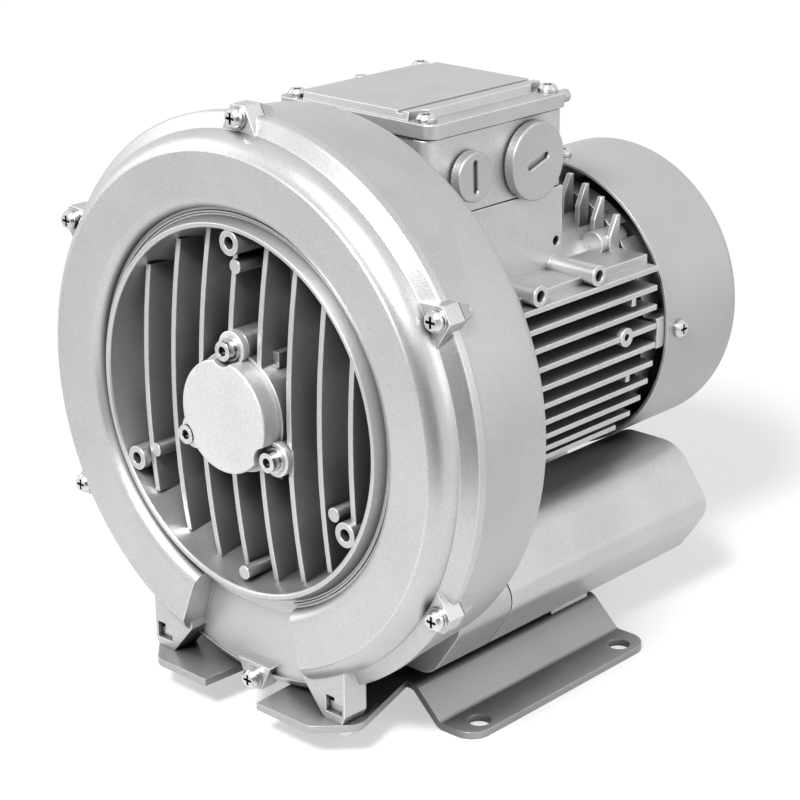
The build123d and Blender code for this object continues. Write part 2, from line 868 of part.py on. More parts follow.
bearing_cap_washers.part.label = "bearing_cap_washers"
export_step(bearing_cap_washers.part, "parts/bearing_cap_washers.step")

with BuildPart() as bearing_cap_screws:
    for angle in hub_angles:
        socket_screw(at_polar(hub_front_y - cap_ear - washer_thickness, hub_lug_circle_r, angle),
                     cap_screw_head_dia, m5_head_height, m5_dia, cap_screw_reach)

bearing_cap_screws.part.label = "bearing_cap_screws"
export_step(bearing_cap_screws.part, "parts/bearing_cap_screws.step")

# ---------------------------------------------------------------- rear casing
collar_r = seal_dia / 2 + seal_collar_wall
collar_back_y = casing_web_back_y + seal_width + 1
recess_wall_r = channel_inner_r - channel_wall + 0.5
impeller_rim_front_y = impeller_mid_y - impeller_rim_width / 2
impeller_rim_back_y = impeller_mid_y + impeller_rim_width / 2
passage_angles = (270 - port_passage_angle, 270 + port_passage_angle)
tube_screw_points = [
    (side * silencer_x + end * tube_screw_x) for side in (-1, 1) for end in (-1, 1)
]

with BuildPart() as rear_casing:
    with BuildSketch(radial(0)) as section:
        with BuildLine():
            Polyline(
                (channel_outer_r, rear_arc_y), (channel_outer_r, parting_y), (casing_r, parting_y),
                (casing_r - casing_draft, casing_back_y), (recess_wall_r, casing_back_y),
                (recess_wall_r, casing_web_back_y), (collar_r, casing_web_back_y),
                (collar_r, collar_back_y), (seal_dia / 2, collar_back_y),
                (seal_dia / 2, casing_web_back_y), (seal_seat_r + 2 * disc_gap, casing_web_back_y),
                (seal_seat_r + 2 * disc_gap, casing_web_front_y), (channel_inner_r, casing_web_front_y),
                (channel_inner_r, rear_arc_y),
            )
            ThreePointArc(
                (channel_inner_r, rear_arc_y), (channel_mid_r, rear_arc_y + channel_r),
                (channel_outer_r, rear_arc_y),
            )
        make_face()
        corner = section.vertices().sort_by_distance(
            Vector(casing_r - casing_draft, casing_back_y, axis_height))[0]
        fillet(corner, radius=casing_edge_r)
    revolve(axis=shaft_line)

    # interrupter behind the impeller rim
    with BuildSketch(radial(interrupter_start - interrupter_lap)):
        with Locations((channel_mid_r, rear_arc_y)):
            Circle(channel_r + channel_wall / 2)
        with Locations((channel_mid_r, impeller_rim_back_y + disc_gap - bulge_r)):
            Rectangle(3 * channel_width, 2 * bulge_r, mode=Mode.SUBTRACT)
    revolve(axis=shaft_line, revolution_arc=interrupter_end - interrupter_start + 2 * interrupter_lap)

    # lugs, and the stubs that lead down into the silencers
    with BuildSketch(Plane(origin=(0, parting_y, axis_height), x_dir=(-1, 0, 0), z_dir=(0, 1, 0))):
        lug_outline(lug_root_r, lug_reach, lug_root_width, lug_tip_width)
    extrude(amount=lug_tail, taper=lug_tail_taper)
    for side in (-1, 1):
        extrude(tube_face(stub_back_y, side), amount=stub_length + channel_wall)
        extrude(tube_face(stub_back_y, side, tube_wall), amount=stub_length, mode=Mode.SUBTRACT)
    for x in tube_screw_points:
        disc(tube_boss_dia / 2, casing_back_y - channel_wall / 2, stub_back_y,
             centre=(x, tube_side - axis_height))
        disc(m4_dia / 2 + fit_play, casing_back_y + channel_wall, stub_back_y, Mode.SUBTRACT,
             (x, tube_side - axis_height))
    for angle in passage_angles:
        disc(port_passage_dia / 2, rear_arc_y, casing_back_y + 1, Mode.SUBTRACT,
             polar(channel_mid_r, angle))

    # cover screw threads, and countersunk holes for the motor
    for angle in lug_angles:
        disc(m4_dia / 2 + fit_play, parting_y, parting_y + lug_tail - washer_thickness, Mode.SUBTRACT,
             polar(lug_circle_r, angle))
    for angle in flange_screw_angles:
        seat = at_polar(casing_web_front_y, flange_screw_circle_r, angle)
        rod(seat, m6_dia / 2 + hole_play, -casing_web, Mode.SUBTRACT)
        with BuildSketch(seat) as sink:
            Circle(m6_head_dia / 2 + hole_play)
        extrude(sink.sketch, amount=-sink_depth, taper=sink_taper, mode=Mode.SUBTRACT)

rear_casing.part.label = "rear_casing"
export_step(rear_casing.part, "parts/rear_casing.step")

with BuildPart() as cover_washers:
    for angle in lug_angles:
        flat_washer(at_polar(lug_front_y, lug_circle_r, angle),
                    m4_washer_dia, m4_dia + 2 * hole_play, washer_thickness)

cover_washers.part.label = "cover_washers"
export_step(cover_washers.part, "parts/cover_washers.step")

with BuildPart() as cover_screws:
    for angle in lug_angles:
        pan_screw(at_polar(lug_front_y - washer_thickness, lug_circle_r, angle),
                  m4_head_dia, m4_head_height, m4_dia, lug_depth + lug_tail - 2 * washer_thickness)

cover_screws.part.label = "cover_screws"
export_step(cover_screws.part, "parts/cover_screws.step")

with BuildPart() as motor_flange_screws:
    for angle in flange_screw_angles:
        seat = at_polar(casing_web_front_y, flange_screw_circle_r, angle)
        with BuildSketch(seat) as sink:
            Circle(m6_head_dia / 2)
        extrude(sink.sketch, amount=fit_play - sink_depth, taper=sink_taper)
        rod(seat, m6_dia / 2, washer_thickness - casing_web - motor_flange)
        rod(seat, m6_dia * socket_share, -sink_depth * socket_depth_share, Mode.SUBTRACT)

motor_flange_screws.part.label = "motor_flange_screws"
export_step(motor_flange_screws.part, "parts/motor_flange_screws.step")

# ---------------------------------------------------------------- front feet
with BuildPart() as foot_bolts:
    for side in (-1, 1):
        seat = Plane(origin=(side * foot_bolt_x, foot_bolt_y, hump_rise), x_dir=(1, 0, 0), z_dir=(0, 0, -1))
        pan_screw(seat, m5_head_dia, m5_head_height, m5_dia,
                  sheet + nut_seat + nut_height + washer_thickness)

foot_bolts.part.label = "foot_bolts"
export_step(foot_bolts.part, "parts/foot_bolts.step")

with BuildPart() as foot_nuts:
    for side in (-1, 1):
        with BuildSketch(Plane.XY.offset(hump_top + nut_seat)) as nut:
            with Locations((side * foot_bolt_x, foot_bolt_y)):
                Rectangle(nut_side, nut_side)
                Circle(m5_dia / 2 + fit_play, mode=Mode.SUBTRACT)
        extrude(nut.sketch, amount=nut_height)

foot_nuts.part.label = "foot_nuts"
export_step(foot_nuts.part, "parts/foot_nuts.step")

# ---------------------------------------------------------------- impeller and shaft
with BuildPart() as impeller:
    disc(impeller_rim_r + impeller_rim_wall / 2, disc_front_y, disc_back_y)
    ring(impeller_rim_r + impeller_rim_wall, impeller_rim_r, impeller_rim_front_y, impeller_rim_back_y)
    ring(impeller_r - blade_thickness / 2, impeller_rim_r, impeller_mid_y - impeller_web / 2,
         impeller_mid_y + impeller_web / 2)
    with BuildSketch(across(impeller_rim_back_y)):
        blade_length = impeller_r - impeller_rim_r - impeller_rim_wall / 2
        with PolarLocations(impeller_r - blade_length / 2, blade_count):
            Rectangle(blade_length, blade_thickness)
    extrude(amount=impeller_rim_width)
    disc(impeller_hub_r, impeller_hub_front_y, disc_back_y)
    with BuildSketch(across(disc_back_y)):
        with PolarLocations(relief_circle_r, relief_holes):
            Circle(relief_hole_dia / 2)
    extrude(amount=impeller_disc, mode=Mode.SUBTRACT)
    disc(impeller_seat_r + shaft_play, impeller_hub_front_y, disc_back_y, Mode.SUBTRACT)
    block(-key_width / 2 - shaft_play, key_width / 2 + shaft_play, impeller_hub_front_y, disc_back_y,
          axis_height, axis_height + impeller_seat_r + key_height / 2 + shaft_play, Mode.SUBTRACT)

impeller.part.label = "impeller"
export_step(impeller.part, "parts/impeller.step")

clip_back_y = impeller_hub_front_y - washer_thickness
clip_front_y = clip_back_y - clip_thickness
shaft_front_y = front_bearing_y - clip_groove
fan_clip_y = fan_y + fan_length - fan_clip_inset
shaft_end_y = fan_clip_y + clip_thickness + shaft_tail
rear_bearing_end_y = rear_bearing_y + bearing_width

with BuildPart() as shaft:
    disc(journal_r, shaft_front_y, clip_front_y)
    disc(impeller_seat_r, front_bearing_back_y + fit_play, disc_back_y)
    disc(seal_seat_r, disc_back_y, core_start_y)
    disc(rotor_seat_r, core_start_y - end_ring_length, core_end_y + end_ring_length)
    disc(seal_seat_r, core_end_y, rear_bearing_y)
    disc(journal_r, rear_bearing_y, rear_bearing_end_y)
    disc(fan_seat_r, rear_bearing_end_y, shaft_end_y)
    block(-key_width / 2 - shaft_play, key_width / 2 + shaft_play, impeller_hub_front_y, disc_back_y,
          axis_height + impeller_seat_r - key_height / 2 - shaft_play,
          axis_height + impeller_seat_r + key_height, Mode.SUBTRACT)
    for groove_radius, seat_radius, groove_start in (
        (impeller_seat_r - clip_groove, impeller_seat_r, clip_front_y),
        (fan_seat_r - clip_groove, fan_seat_r, fan_clip_y),
    ):
        with BuildSketch(across(groove_start + clip_thickness)) as groove:
            Circle(seat_radius + 1)
            Circle(groove_radius, mode=Mode.SUBTRACT)
        extrude(groove.sketch, amount=clip_thickness, mode=Mode.SUBTRACT)

shaft.part.label = "shaft"
export_step(shaft.part, "parts/shaft.step")

with BuildPart() as impeller_key:
    block(-key_width / 2, key_width / 2, impeller_hub_front_y + 0.5, disc_back_y - 0.5,
          axis_height + impeller_seat_r - key_height / 2, axis_height + impeller_seat_r + key_height / 2)

impeller_key.part.label = "impeller_key"
export_step(impeller_key.part, "parts/impeller_key.step")

with BuildPart() as impeller_washer:
    ring(impeller_hub_r - 1, impeller_seat_r + shaft_play, clip_back_y, impeller_hub_front_y)

impeller_washer.part.label = "impeller_washer"
export_step(impeller_washer.part, "parts/impeller_washer.step")


def retaining_ring(inner_r, y_from):
    """Spring ring with an open gap, seated in a shaft groove."""
    ring(inner_r + clip_reach, inner_r + shaft_play, y_from + shaft_play,
         y_from + clip_thickness - shaft_play)
    block(-clip_reach / 2, clip_reach / 2, y_from - 1, y_from + clip_thickness + 1,
          axis_height - 2 * inner_r - clip_reach, axis_height, Mode.SUBTRACT)


with BuildPart() as impeller_clip:
    retaining_ring(impeller_seat_r - clip_groove, clip_front_y)

impeller_clip.part.label = "impeller_clip"
export_step(impeller_clip.part, "parts/impeller_clip.step")

with BuildPart() as shaft_seal:
    seal_front_y = casing_web_back_y + fit_play
    ring(seal_dia / 2, seal_dia / 2 - seal_shell, seal_front_y, seal_front_y + seal_width)
    ring(seal_dia / 2 - seal_shell / 2, seal_seat_r + 2 * seal_web, seal_front_y, seal_front_y + seal_web)
    with BuildSketch(radial(0)) as lip:
        with BuildLine():
            Polyline(
                (seal_seat_r + 3 * seal_web, seal_front_y + seal_web / 2),
                (seal_seat_r + fit_play, seal_front_y + seal_lip_length),
                (seal_seat_r + seal_web, seal_front_y + seal_lip_length + seal_web),
                (seal_seat_r + 4 * seal_web, seal_front_y + seal_web), close=True,
            )
        make_face()
    revolve(lip.sketch, axis=shaft_line)

shaft_seal.part.label = "shaft_seal"
export_step(shaft_seal.part, "parts/shaft_seal.step")


# ---------------------------------------------------------------- ball bearings
race_r = (journal_r + bearing_r) / 2


def race_groove(y_mid):
    """Ball groove cut into a bearing ring."""
    with BuildSketch(radial(0)) as groove:
        with Locations((race_r, y_mid)):
            Circle(ball_dia / 2 + ball_play)
    revolve(groove.sketch, axis=shaft_line, mode=Mode.SUBTRACT)


def bearing_outer(y_from):
    """Outer ring of a deep-groove ball bearing."""
    ring(bearing_r, bearing_r - bearing_ring, y_from, y_from + bearing_width)
    race_groove(y_from + bearing_width / 2)


def bearing_inner(y_from):
    """Inner ring of a deep-groove ball bearing."""
    ring(journal_r + bearing_ring, journal_r, y_from, y_from + bearing_width)
    race_groove(y_from + bearing_width / 2)


def bearing_balls(y_from):
    """Balls evenly spaced in the groove."""
    y_mid = y_from + bearing_width / 2
    with Locations(*[(x, y_mid, axis_height + up) for x, up in
                     [polar(race_r, 360 / ball_count * i) for i in range(ball_count)]]):
        Sphere(ball_dia / 2)


with BuildPart() as front_bearing_outer:
    bearing_outer(front_bearing_y)

front_bearing_outer.part.label = "front_bearing_outer"
export_step(front_bearing_outer.part, "parts/front_bearing_outer.step")

with BuildPart() as front_bearing_inner:
    bearing_inner(front_bearing_y)

front_bearing_inner.part.label = "front_bearing_inner"
export_step(front_bearing_inner.part, "parts/front_bearing_inner.step")

with BuildPart() as front_bearing_balls:
    bearing_balls(front_bearing_y)

front_bearing_balls.part.label = "front_bearing_balls"
export_step(front_bearing_balls.part, "parts/front_bearing_balls.step")

with BuildPart() as rear_bearing_outer:
    bearing_outer(rear_bearing_y)

rear_bearing_outer.part.label = "rear_bearing_outer"
export_step(rear_bearing_outer.part, "parts/rear_bearing_outer.step")

with BuildPart() as rear_bearing_inner:
    bearing_inner(rear_bearing_y)

rear_bearing_inner.part.label = "rear_bearing_inner"
export_step(rear_bearing_inner.part, "parts/rear_bearing_inner.step")

with BuildPart() as rear_bearing_balls:
    bearing_balls(rear_bearing_y)

rear_bearing_balls.part.label = "rear_bearing_balls"
export_step(rear_bearing_balls.part, "parts/rear_bearing_balls.step")

# ---------------------------------------------------------------- motor
with BuildPart() as motor_housing:
    # level fins on both sides: the upper ones reach a common width, the lower ones follow a circle
    with BuildSketch(across(housing_end_y - fin_start_clearance)):
        for k in range(-side_fins_below, side_fins_above):
            up = side_fin_pitch * (k + 0.5)
            half = sqrt(fin_tip_r**2 - up**2) if up < 0 else fin_tip_r
            if up < ledge_top - ledge_thickness:
                with Locations((0, up)):
                    Rectangle(2 * half, side_fin_thickness)
    extrude(amount=housing_end_y - fin_start_clearance - fin_start_y)
    disc(housing_r, motor_front_y, housing_end_y)
    disc(motor_flange_r, motor_front_y, motor_front_y + motor_flange)

    # pad under the housing, pedestal of the terminal box and the ledge with its screw bosses
    block(-bottom_pad_width / 2, bottom_pad_width / 2, fin_start_y, housing_end_y - fin_start_clearance,
          axis_height - fin_tip_r + bottom_pad_inset, axis_height - stator_r)
    block(-box_half_width, box_half_width, box_front_y, box_back_y,
          axis_height + ledge_top - ledge_thickness, pedestal_top)
    block(-ledge_half_width, ledge_half_width, fin_start_y, ledge_back_y,
          axis_height + ledge_top - ledge_thickness, axis_height + ledge_top)
    for side in (-1, 1):
        for y in (side_boss_y, side_boss_y + side_boss_pitch):
            tip = facing_side(side, side_boss_reach, y, axis_height + side_boss_height)
            rod(tip, side_boss_dia / 2, -(side_boss_reach - box_half_width + 2))
            rod(tip, side_boss_thread_dia / 2, -side_boss_thread_depth, Mode.SUBTRACT)
        tip = Plane(origin=(side * (fin_tip_r + 0.4), small_boss_y, axis_height + small_boss_rise),
                    x_dir=(0, 1, 0), z_dir=(side, 0, 0))
        rod(tip, small_boss_dia / 2, -(fin_tip_r - stator_r - 1))
        rod(tip, small_boss_hole / 2, -small_boss_dia, Mode.SUBTRACT)

    # short upright fins with slanted front edges behind the pedestal, and tabs between the side fins
    top_fins = int(ledge_half_width / side_fin_pitch) - 1
    fin_end_y = housing_end_y - fin_start_clearance
    fin_foot_z = axis_height + ledge_top - 2 * ledge_thickness
    for k in range(-top_fins, top_fins + 1):
        x = side_fin_pitch * k
        tip_z = axis_height + sqrt(top_fin_r**2 - x**2)
        with BuildSketch(Plane.YZ.offset(x - side_fin_thickness / 2)):
            Polygon(
                (top_fin_y, fin_foot_z), (top_fin_y, tip_z - top_fin_drop),
                (top_fin_y + top_fin_slant, tip_z), (fin_end_y, tip_z), (fin_end_y, fin_foot_z), align=None,
            )
        extrude(amount=side_fin_thickness)
    for rows in (tab_row_top, tab_row_low):
        tab_z = axis_height + rows * side_fin_pitch
        tip_x = sqrt(fin_tip_r**2 - (tab_z - axis_height - tab_height) ** 2) if rows < 0 else fin_tip_r
        for x in (-tip_x, tip_x - tab_depth):
            block(x, x + tab_depth, tab_y - tab_width / 2, tab_y + tab_width / 2, tab_z - tab_height, tab_z)

    # screw bosses for the rear shield, then the inside is bored out
    for angle in shield_screw_angles:
        disc(shield_boss_dia / 2, housing_end_y - shield_boss_length, housing_end_y,
             centre=polar(shield_screw_circle_r, angle))
    disc(stator_r, motor_front_y + motor_flange, housing_end_y, Mode.SUBTRACT)
    disc(collar_r + fit_play, motor_front_y, motor_front_y + motor_flange + 1, Mode.SUBTRACT)
    for angle in shield_screw_angles:
        disc(m5_dia / 2 + fit_play, housing_end_y - shield_thread_depth, housing_end_y, Mode.SUBTRACT,
             polar(shield_screw_circle_r, angle))
    for angle in flange_screw_angles:
        disc(m6_dia / 2 + fit_play, motor_front_y, motor_front_y + motor_flange, Mode.SUBTRACT,
             polar(flange_screw_circle_r, angle))

    # wire well under the terminal box, box screw threads and a cross hole
    block(-box_half_width + well_margin, box_half_width - well_margin, box_front_y + well_margin,
          box_back_y - well_margin, axis_height + housing_r + 1, pedestal_top, Mode.SUBTRACT)
    rod(facing_up(0, box_mid_y, axis_height + stator_r - housing_wall), wire_hole_r, 3 * housing_wall,
        Mode.SUBTRACT)
    for x, y in box_screw_points:
        rod(facing_up(x, y, pedestal_top),
            m4_dia / 2 + fit_play, -box_thread_depth, Mode.SUBTRACT)
    for side in (-1, 1):
        mouth = facing_side(side, box_half_width, box_back_y - side_hole_inset,
                            axis_height + side_hole_rise)
        rod(mouth, side_hole_r, -side_hole_depth, Mode.SUBTRACT)

motor_housing.part.label = "motor_housing"
export_step(motor_housing.part, "parts/motor_housing.step")

with BuildPart() as stator_core:
    with BuildSketch(across(core_end_y)):
        Circle(stator_r)
        Circle(rotor_r + air_gap, mode=Mode.SUBTRACT)
        with PolarLocations(rotor_r + air_gap + slot_bridge + slot_depth / 2, slot_count):
            Rectangle(slot_depth, slot_width, mode=Mode.SUBTRACT)
    extrude(amount=core_length)

stator_core.part.label = "stator_core"
export_step(stator_core.part, "parts/stator_core.step")

with BuildPart() as stator_windings:
    for y_from in (core_start_y - winding_length, core_end_y):
        ring(winding_outer_r, winding_inner_r, y_from, y_from + winding_length)
    for end in (0, -1):
        fillet(stator_windings.edges().filter_by(GeomType.CIRCLE).group_by(Axis.Y)[end],
               radius=winding_edge_r)

stator_windings.part.label = "stator_windings"
export_step(stator_windings.part, "parts/stator_windings.step")

with BuildPart() as rotor_core:
    ring(rotor_r, rotor_seat_r, core_start_y, core_end_y)

rotor_core.part.label = "rotor_core"
export_step(rotor_core.part, "parts/rotor_core.step")

with BuildPart() as rotor_end_rings:
    for y_from in (core_start_y - end_ring_length, core_end_y):
        ring(rotor_r - 1, end_ring_inner_r, y_from, y_from + end_ring_length)

rotor_end_rings.part.label = "rotor_end_rings"
export_step(rotor_end_rings.part, "parts/rotor_end_rings.step")

# ---------------------------------------------------------------- rear end shield
with BuildPart() as rear_end_shield:
    ring(stator_r - fit_play, stator_r - housing_wall, shield_front_y - shield_spigot, shield_front_y)
    disc(shield_r, shield_front_y, shield_front_y + shield_wall)
    ring(shield_r, shield_r - housing_wall, shield_front_y, shield_back_y)
    disc(bearing_r + housing_wall, rear_bearing_y, rear_bearing_end_y + 3 * washer_thickness)
    lug_r = cowl_r - cowl_sheet - shield_lug_play
    for angle in cowl_screw_angles:
        ring_part(shield_r - housing_wall, lug_r, shield_front_y, cowl_screw_y + cowl_screw_inset,
                  angle - shield_lug_arc / 2, shield_lug_arc)
    for angle in shield_screw_angles:
        centre = polar(shield_screw_circle_r, angle)
        disc(shield_boss_dia / 2, shield_front_y, shield_front_y + shield_wall, centre=centre)
        disc(shield_recess_dia / 2, shield_front_y + shield_wall, shield_back_y, Mode.SUBTRACT, centre)
        disc(m5_dia / 2 + hole_play, shield_front_y, shield_front_y + shield_wall, Mode.SUBTRACT, centre)
    disc(bearing_r, rear_bearing_y, rear_bearing_end_y + washer_thickness + fit_play, Mode.SUBTRACT)
    disc(fan_seat_r + 2 * disc_gap, rear_bearing_y, rear_bearing_end_y + 3 * washer_thickness, Mode.SUBTRACT)
    for angle in cowl_screw_angles:
        rod(facing_out(lug_r, cowl_screw_y, angle), m4_dia / 2 + fit_play,
            shield_r - housing_wall - lug_r, Mode.SUBTRACT)

rear_end_shield.part.label = "rear_end_shield"
export_step(rear_end_shield.part, "parts/rear_end_shield.step")

with BuildPart() as end_shield_screws:
    for angle in shield_screw_angles:
        x, up = polar(shield_screw_circle_r, angle)
        pan_screw(facing_back(x, shield_front_y + shield_wall, axis_height + up),
                  m5_head_dia, m5_head_height, m5_dia, shield_wall + shield_screw_reach)

end_shield_screws.part.label = "end_shield_screws"
export_step(end_shield_screws.part, "parts/end_shield_screws.step")

with BuildPart() as wave_spring:
    ring(bearing_r - 2 * hole_play, bearing_r - bearing_ring, rear_bearing_end_y,
         rear_bearing_end_y + washer_thickness)

wave_spring.part.label = "wave_spring"
export_step(wave_spring.part, "parts/wave_spring.step")

# ---------------------------------------------------------------- fan and cowl
with BuildPart() as cooling_fan:
    disc(fan_hub_r, fan_y, fan_clip_y)
    disc(fan_r, fan_y, fan_y + fan_disc)
    with BuildSketch(across(fan_y + fan_length)):
        with PolarLocations((fan_r + fan_seat_r) / 2, fan_blades):
            Rectangle(fan_r - fan_seat_r, fan_blade_thickness)
    extrude(amount=fan_length)
    disc(fan_seat_r + shaft_play, fan_y, fan_y + fan_length, Mode.SUBTRACT)
    disc(fan_hub_r, fan_clip_y, fan_y + fan_length, Mode.SUBTRACT)

cooling_fan.part.label = "cooling_fan"
export_step(cooling_fan.part, "parts/cooling_fan.step")

with BuildPart() as fan_clip:
    retaining_ring(fan_seat_r - clip_groove, fan_clip_y)

fan_clip.part.label = "fan_clip"
export_step(fan_clip.part, "parts/fan_clip.step")

with BuildPart() as fan_cowl:
    disc(cowl_r, cowl_front_y, cowl_back_y)
    fillet(fan_cowl.edges().group_by(Axis.Y)[-1], radius=cowl_edge_r)
    inside_r = cowl_r - cowl_sheet
    with BuildSketch(radial(0)) as inside:
        with BuildLine():
            Polyline(
                (0, cowl_front_y), (inside_r, cowl_front_y),
                (inside_r, cowl_back_y - cowl_edge_r), (inside_r - cowl_edge_r + cowl_sheet,
                                                       cowl_back_y - cowl_sheet),
                (0, cowl_back_y - cowl_sheet), close=True,
            )
        make_face()
    revolve(inside.sketch, axis=shaft_line, mode=Mode.SUBTRACT)
    with BuildSketch(across(cowl_back_y)) as slots:
        for i in range(grille_rings):
            mid_r = grille_first_r + (grille_slot_length + grille_ring_gap) * i
            count = int(2 * pi * (mid_r - grille_slot_length / 2) / (2 * grille_slot_width))
            with PolarLocations(mid_r, count):
                SlotOverall(grille_slot_length, grille_slot_width)
    extrude(slots.sketch, amount=2 * cowl_sheet, mode=Mode.SUBTRACT)
    for angle in cowl_screw_angles:
        rod(facing_out(cowl_r, cowl_screw_y, angle), m4_dia / 2 + hole_play, -2 * cowl_sheet, Mode.SUBTRACT)

fan_cowl.part.label = "fan_cowl"
export_step(fan_cowl.part, "parts/fan_cowl.step")

with BuildPart() as cowl_screws:
    for angle in cowl_screw_angles:
        pan_screw(facing_out(cowl_r, cowl_screw_y, angle), m4_head_dia, m4_head_height, m4_dia,
                  cowl_r - shield_r + housing_wall - washer_thickness)

cowl_screws.part.label = "cowl_screws"
export_step(cowl_screws.part, "parts/cowl_screws.step")

# ---------------------------------------------------------------- terminal box
def box_outline(inset, corner):
    """Rounded rectangle of the terminal box at an inset from its walls."""
    with Locations((0, box_mid_y)):
        RectangleRounded(2 * (box_half_width - inset), box_length_y - 2 * inset, corner)


def box_side(y, z, inset=0.0):
    """Plane on the right-hand wall of the box, facing outwards."""
    return Plane(origin=(box_half_width - inset, y, z), x_dir=(0, 1, 0), z_dir=(1, 0, 0))


with BuildPart() as box_gasket:
    with BuildSketch(Plane.XY.offset(pedestal_top)):
        box_outline(2 * hole_play, box_corner)
    extrude(amount=box_seam)
    block(-box_half_width + well_margin, box_half_width - well_margin, box_front_y + well_margin,
          box_back_y - well_margin, pedestal_top, pedestal_top + box_seam, Mode.SUBTRACT)
    for x, y in box_screw_points:
        rod(facing_up(x, y, pedestal_top),
            m4_dia / 2 + hole_play, box_seam, Mode.SUBTRACT)

box_gasket.part.label = "box_gasket"
export_step(box_gasket.part, "parts/box_gasket.step")

with BuildPart() as terminal_box:
    with BuildSketch(Plane.XY.offset(box_bottom_z)):
        box_outline(0, box_corner)
    extrude(amount=box_height)
    with BuildSketch(Plane.XY.offset(box_bottom_z + box_wall)):
        box_outline(box_wall, box_corner - box_wall / 2)
    extrude(amount=box_height - box_wall, mode=Mode.SUBTRACT)
    for x, y in lid_screw_points:
        rod(facing_up(x, y, box_bottom_z), lid_post_r, box_height)
        rod(facing_up(x, y, box_top_z),
            m4_dia / 2 + fit_play, -lid_thread_depth, Mode.SUBTRACT)
    for x, y in box_screw_points:
        rod(facing_up(x, y, box_bottom_z),
            m4_dia / 2 + hole_play, box_wall, Mode.SUBTRACT)
        rod(facing_up(x, y, box_bottom_z + box_wall),
            m4_head_dia / 2 + 2 * hole_play, box_height - box_wall, Mode.SUBTRACT)
    rod(facing_up(0, box_mid_y, box_bottom_z), wire_hole_r + wire_hole_play, box_wall, Mode.SUBTRACT)
    rod(box_side(large_plug_y, large_plug_z), large_thread_dia / 2, -plug_thread_length, Mode.SUBTRACT)
    rod(box_side(small_plug_y, small_plug_z), small_thread_dia / 2, -plug_thread_length, Mode.SUBTRACT)
    rod(facing_up(earth_x, earth_y, box_bottom_z),
        m4_dia / 2 + fit_play, box_wall, Mode.SUBTRACT)

terminal_box.part.label = "terminal_box"
export_step(terminal_box.part, "parts/terminal_box.step")

with BuildPart() as box_screws:
    for x, y in box_screw_points:
        pan_screw(facing_up(x, y, box_bottom_z + box_wall),
                  m4_head_dia, m4_head_height, m4_dia, box_wall + box_seam + box_screw_reach)

box_screws.part.label = "box_screws"
export_step(box_screws.part, "parts/box_screws.step")

with BuildPart() as lid_gasket:
    with BuildSketch(Plane.XY.offset(box_top_z)):
        box_outline(3 * hole_play, box_corner - 3 * hole_play)
    extrude(amount=gasket_thickness)
    with BuildSketch(Plane.XY.offset(box_top_z)):
        box_outline(box_wall + 2 * hole_play, box_corner - box_wall / 2)
    extrude(amount=gasket_thickness, mode=Mode.SUBTRACT)
    for x, y in lid_screw_points:
        rod(facing_up(x, y, box_top_z),
            m4_dia / 2 + hole_play, gasket_thickness, Mode.SUBTRACT)

lid_gasket.part.label = "lid_gasket"
export_step(lid_gasket.part, "parts/lid_gasket.step")

lid_half_x = box_half_width + lid_overhang
lid_half_y = box_length_y / 2 + lid_overhang
panel_half_x = lid_half_x - lid_panel_margin
with BuildPart() as terminal_lid:
    with BuildSketch(Plane.XY.offset(lid_z)):
        box_outline(-lid_overhang, box_corner)
    extrude(amount=lid_edge)
    with BuildSketch(Plane.XY.offset(lid_top_z)):
        with Locations((0, box_mid_y)):
            RectangleRounded(2 * panel_half_x, 2 * (lid_half_y - lid_end_margin), lid_panel_corner)
    extrude(amount=lid_panel_rise, taper=lid_panel_taper)
    for x, y in lid_screw_points:
        rod(facing_up(x, y, lid_top_z),
            lid_pocket_r, 2 * lid_panel_rise, Mode.SUBTRACT)
        rod(facing_up(x, y, lid_z),
            m4_dia / 2 + hole_play, lid_edge, Mode.SUBTRACT)
    groove_x = panel_half_x - lid_groove_inset
    block(groove_x - lid_groove_width / 2, groove_x + lid_groove_width / 2,
          box_mid_y - lid_half_y, box_mid_y + lid_half_y,
          lid_top_z + lid_panel_rise - lid_groove_depth, lid_top_z + 2 * lid_panel_rise, Mode.SUBTRACT)
    rod(facing_back(lid_half_x - lid_tab_inset, box_mid_y + lid_half_y, lid_z + lid_edge / 2),
        lid_tab_r, lid_tab_reach)
    rod(facing_up(-panel_half_x - lid_stud_inset, lid_stud_y, lid_top_z), lid_stud_r, lid_stud_height)

terminal_lid.part.label = "terminal_lid"
export_step(terminal_lid.part, "parts/terminal_lid.step")

with BuildPart() as lid_screws:
    for x, y in lid_screw_points:
        pan_screw(facing_up(x, y, lid_top_z),
                  m4_head_dia, m4_head_height, m4_dia, lid_edge + gasket_thickness + lid_screw_reach)

lid_screws.part.label = "lid_screws"
export_step(lid_screws.part, "parts/lid_screws.step")


def blanking_plug(y, z, head_dia, thread_dia, tilt):
    """Screwed blanking plug with a slotted round head, on its sealing ring."""
    face = box_side(y, z, -seal_ring)
    rod(face, head_dia / 2, plug_head)
    rod(face, thread_dia / 2 - fit_play, -plug_thread_length)
    with BuildSketch(face.offset(plug_head)) as slot:
        SlotOverall(plug_slot_length, plug_slot_width, rotation=tilt)
    extrude(slot.sketch, amount=-plug_slot_depth, mode=Mode.SUBTRACT)


with BuildPart() as large_plug:
    blanking_plug(large_plug_y, large_plug_z, large_plug_dia, large_thread_dia, large_slot_tilt)
    fillet(large_plug.edges().filter_by(GeomType.CIRCLE).group_by(Axis.X)[-1], radius=plug_edge_r)

large_plug.part.label = "large_plug"
export_step(large_plug.part, "parts/large_plug.step")

with BuildPart() as small_plug:
    blanking_plug(small_plug_y, small_plug_z, small_plug_dia, small_thread_dia, small_slot_tilt)
    fillet(small_plug.edges().filter_by(GeomType.CIRCLE).group_by(Axis.X)[-1], radius=plug_edge_r)

small_plug.part.label = "small_plug"
export_step(small_plug.part, "parts/small_plug.step")

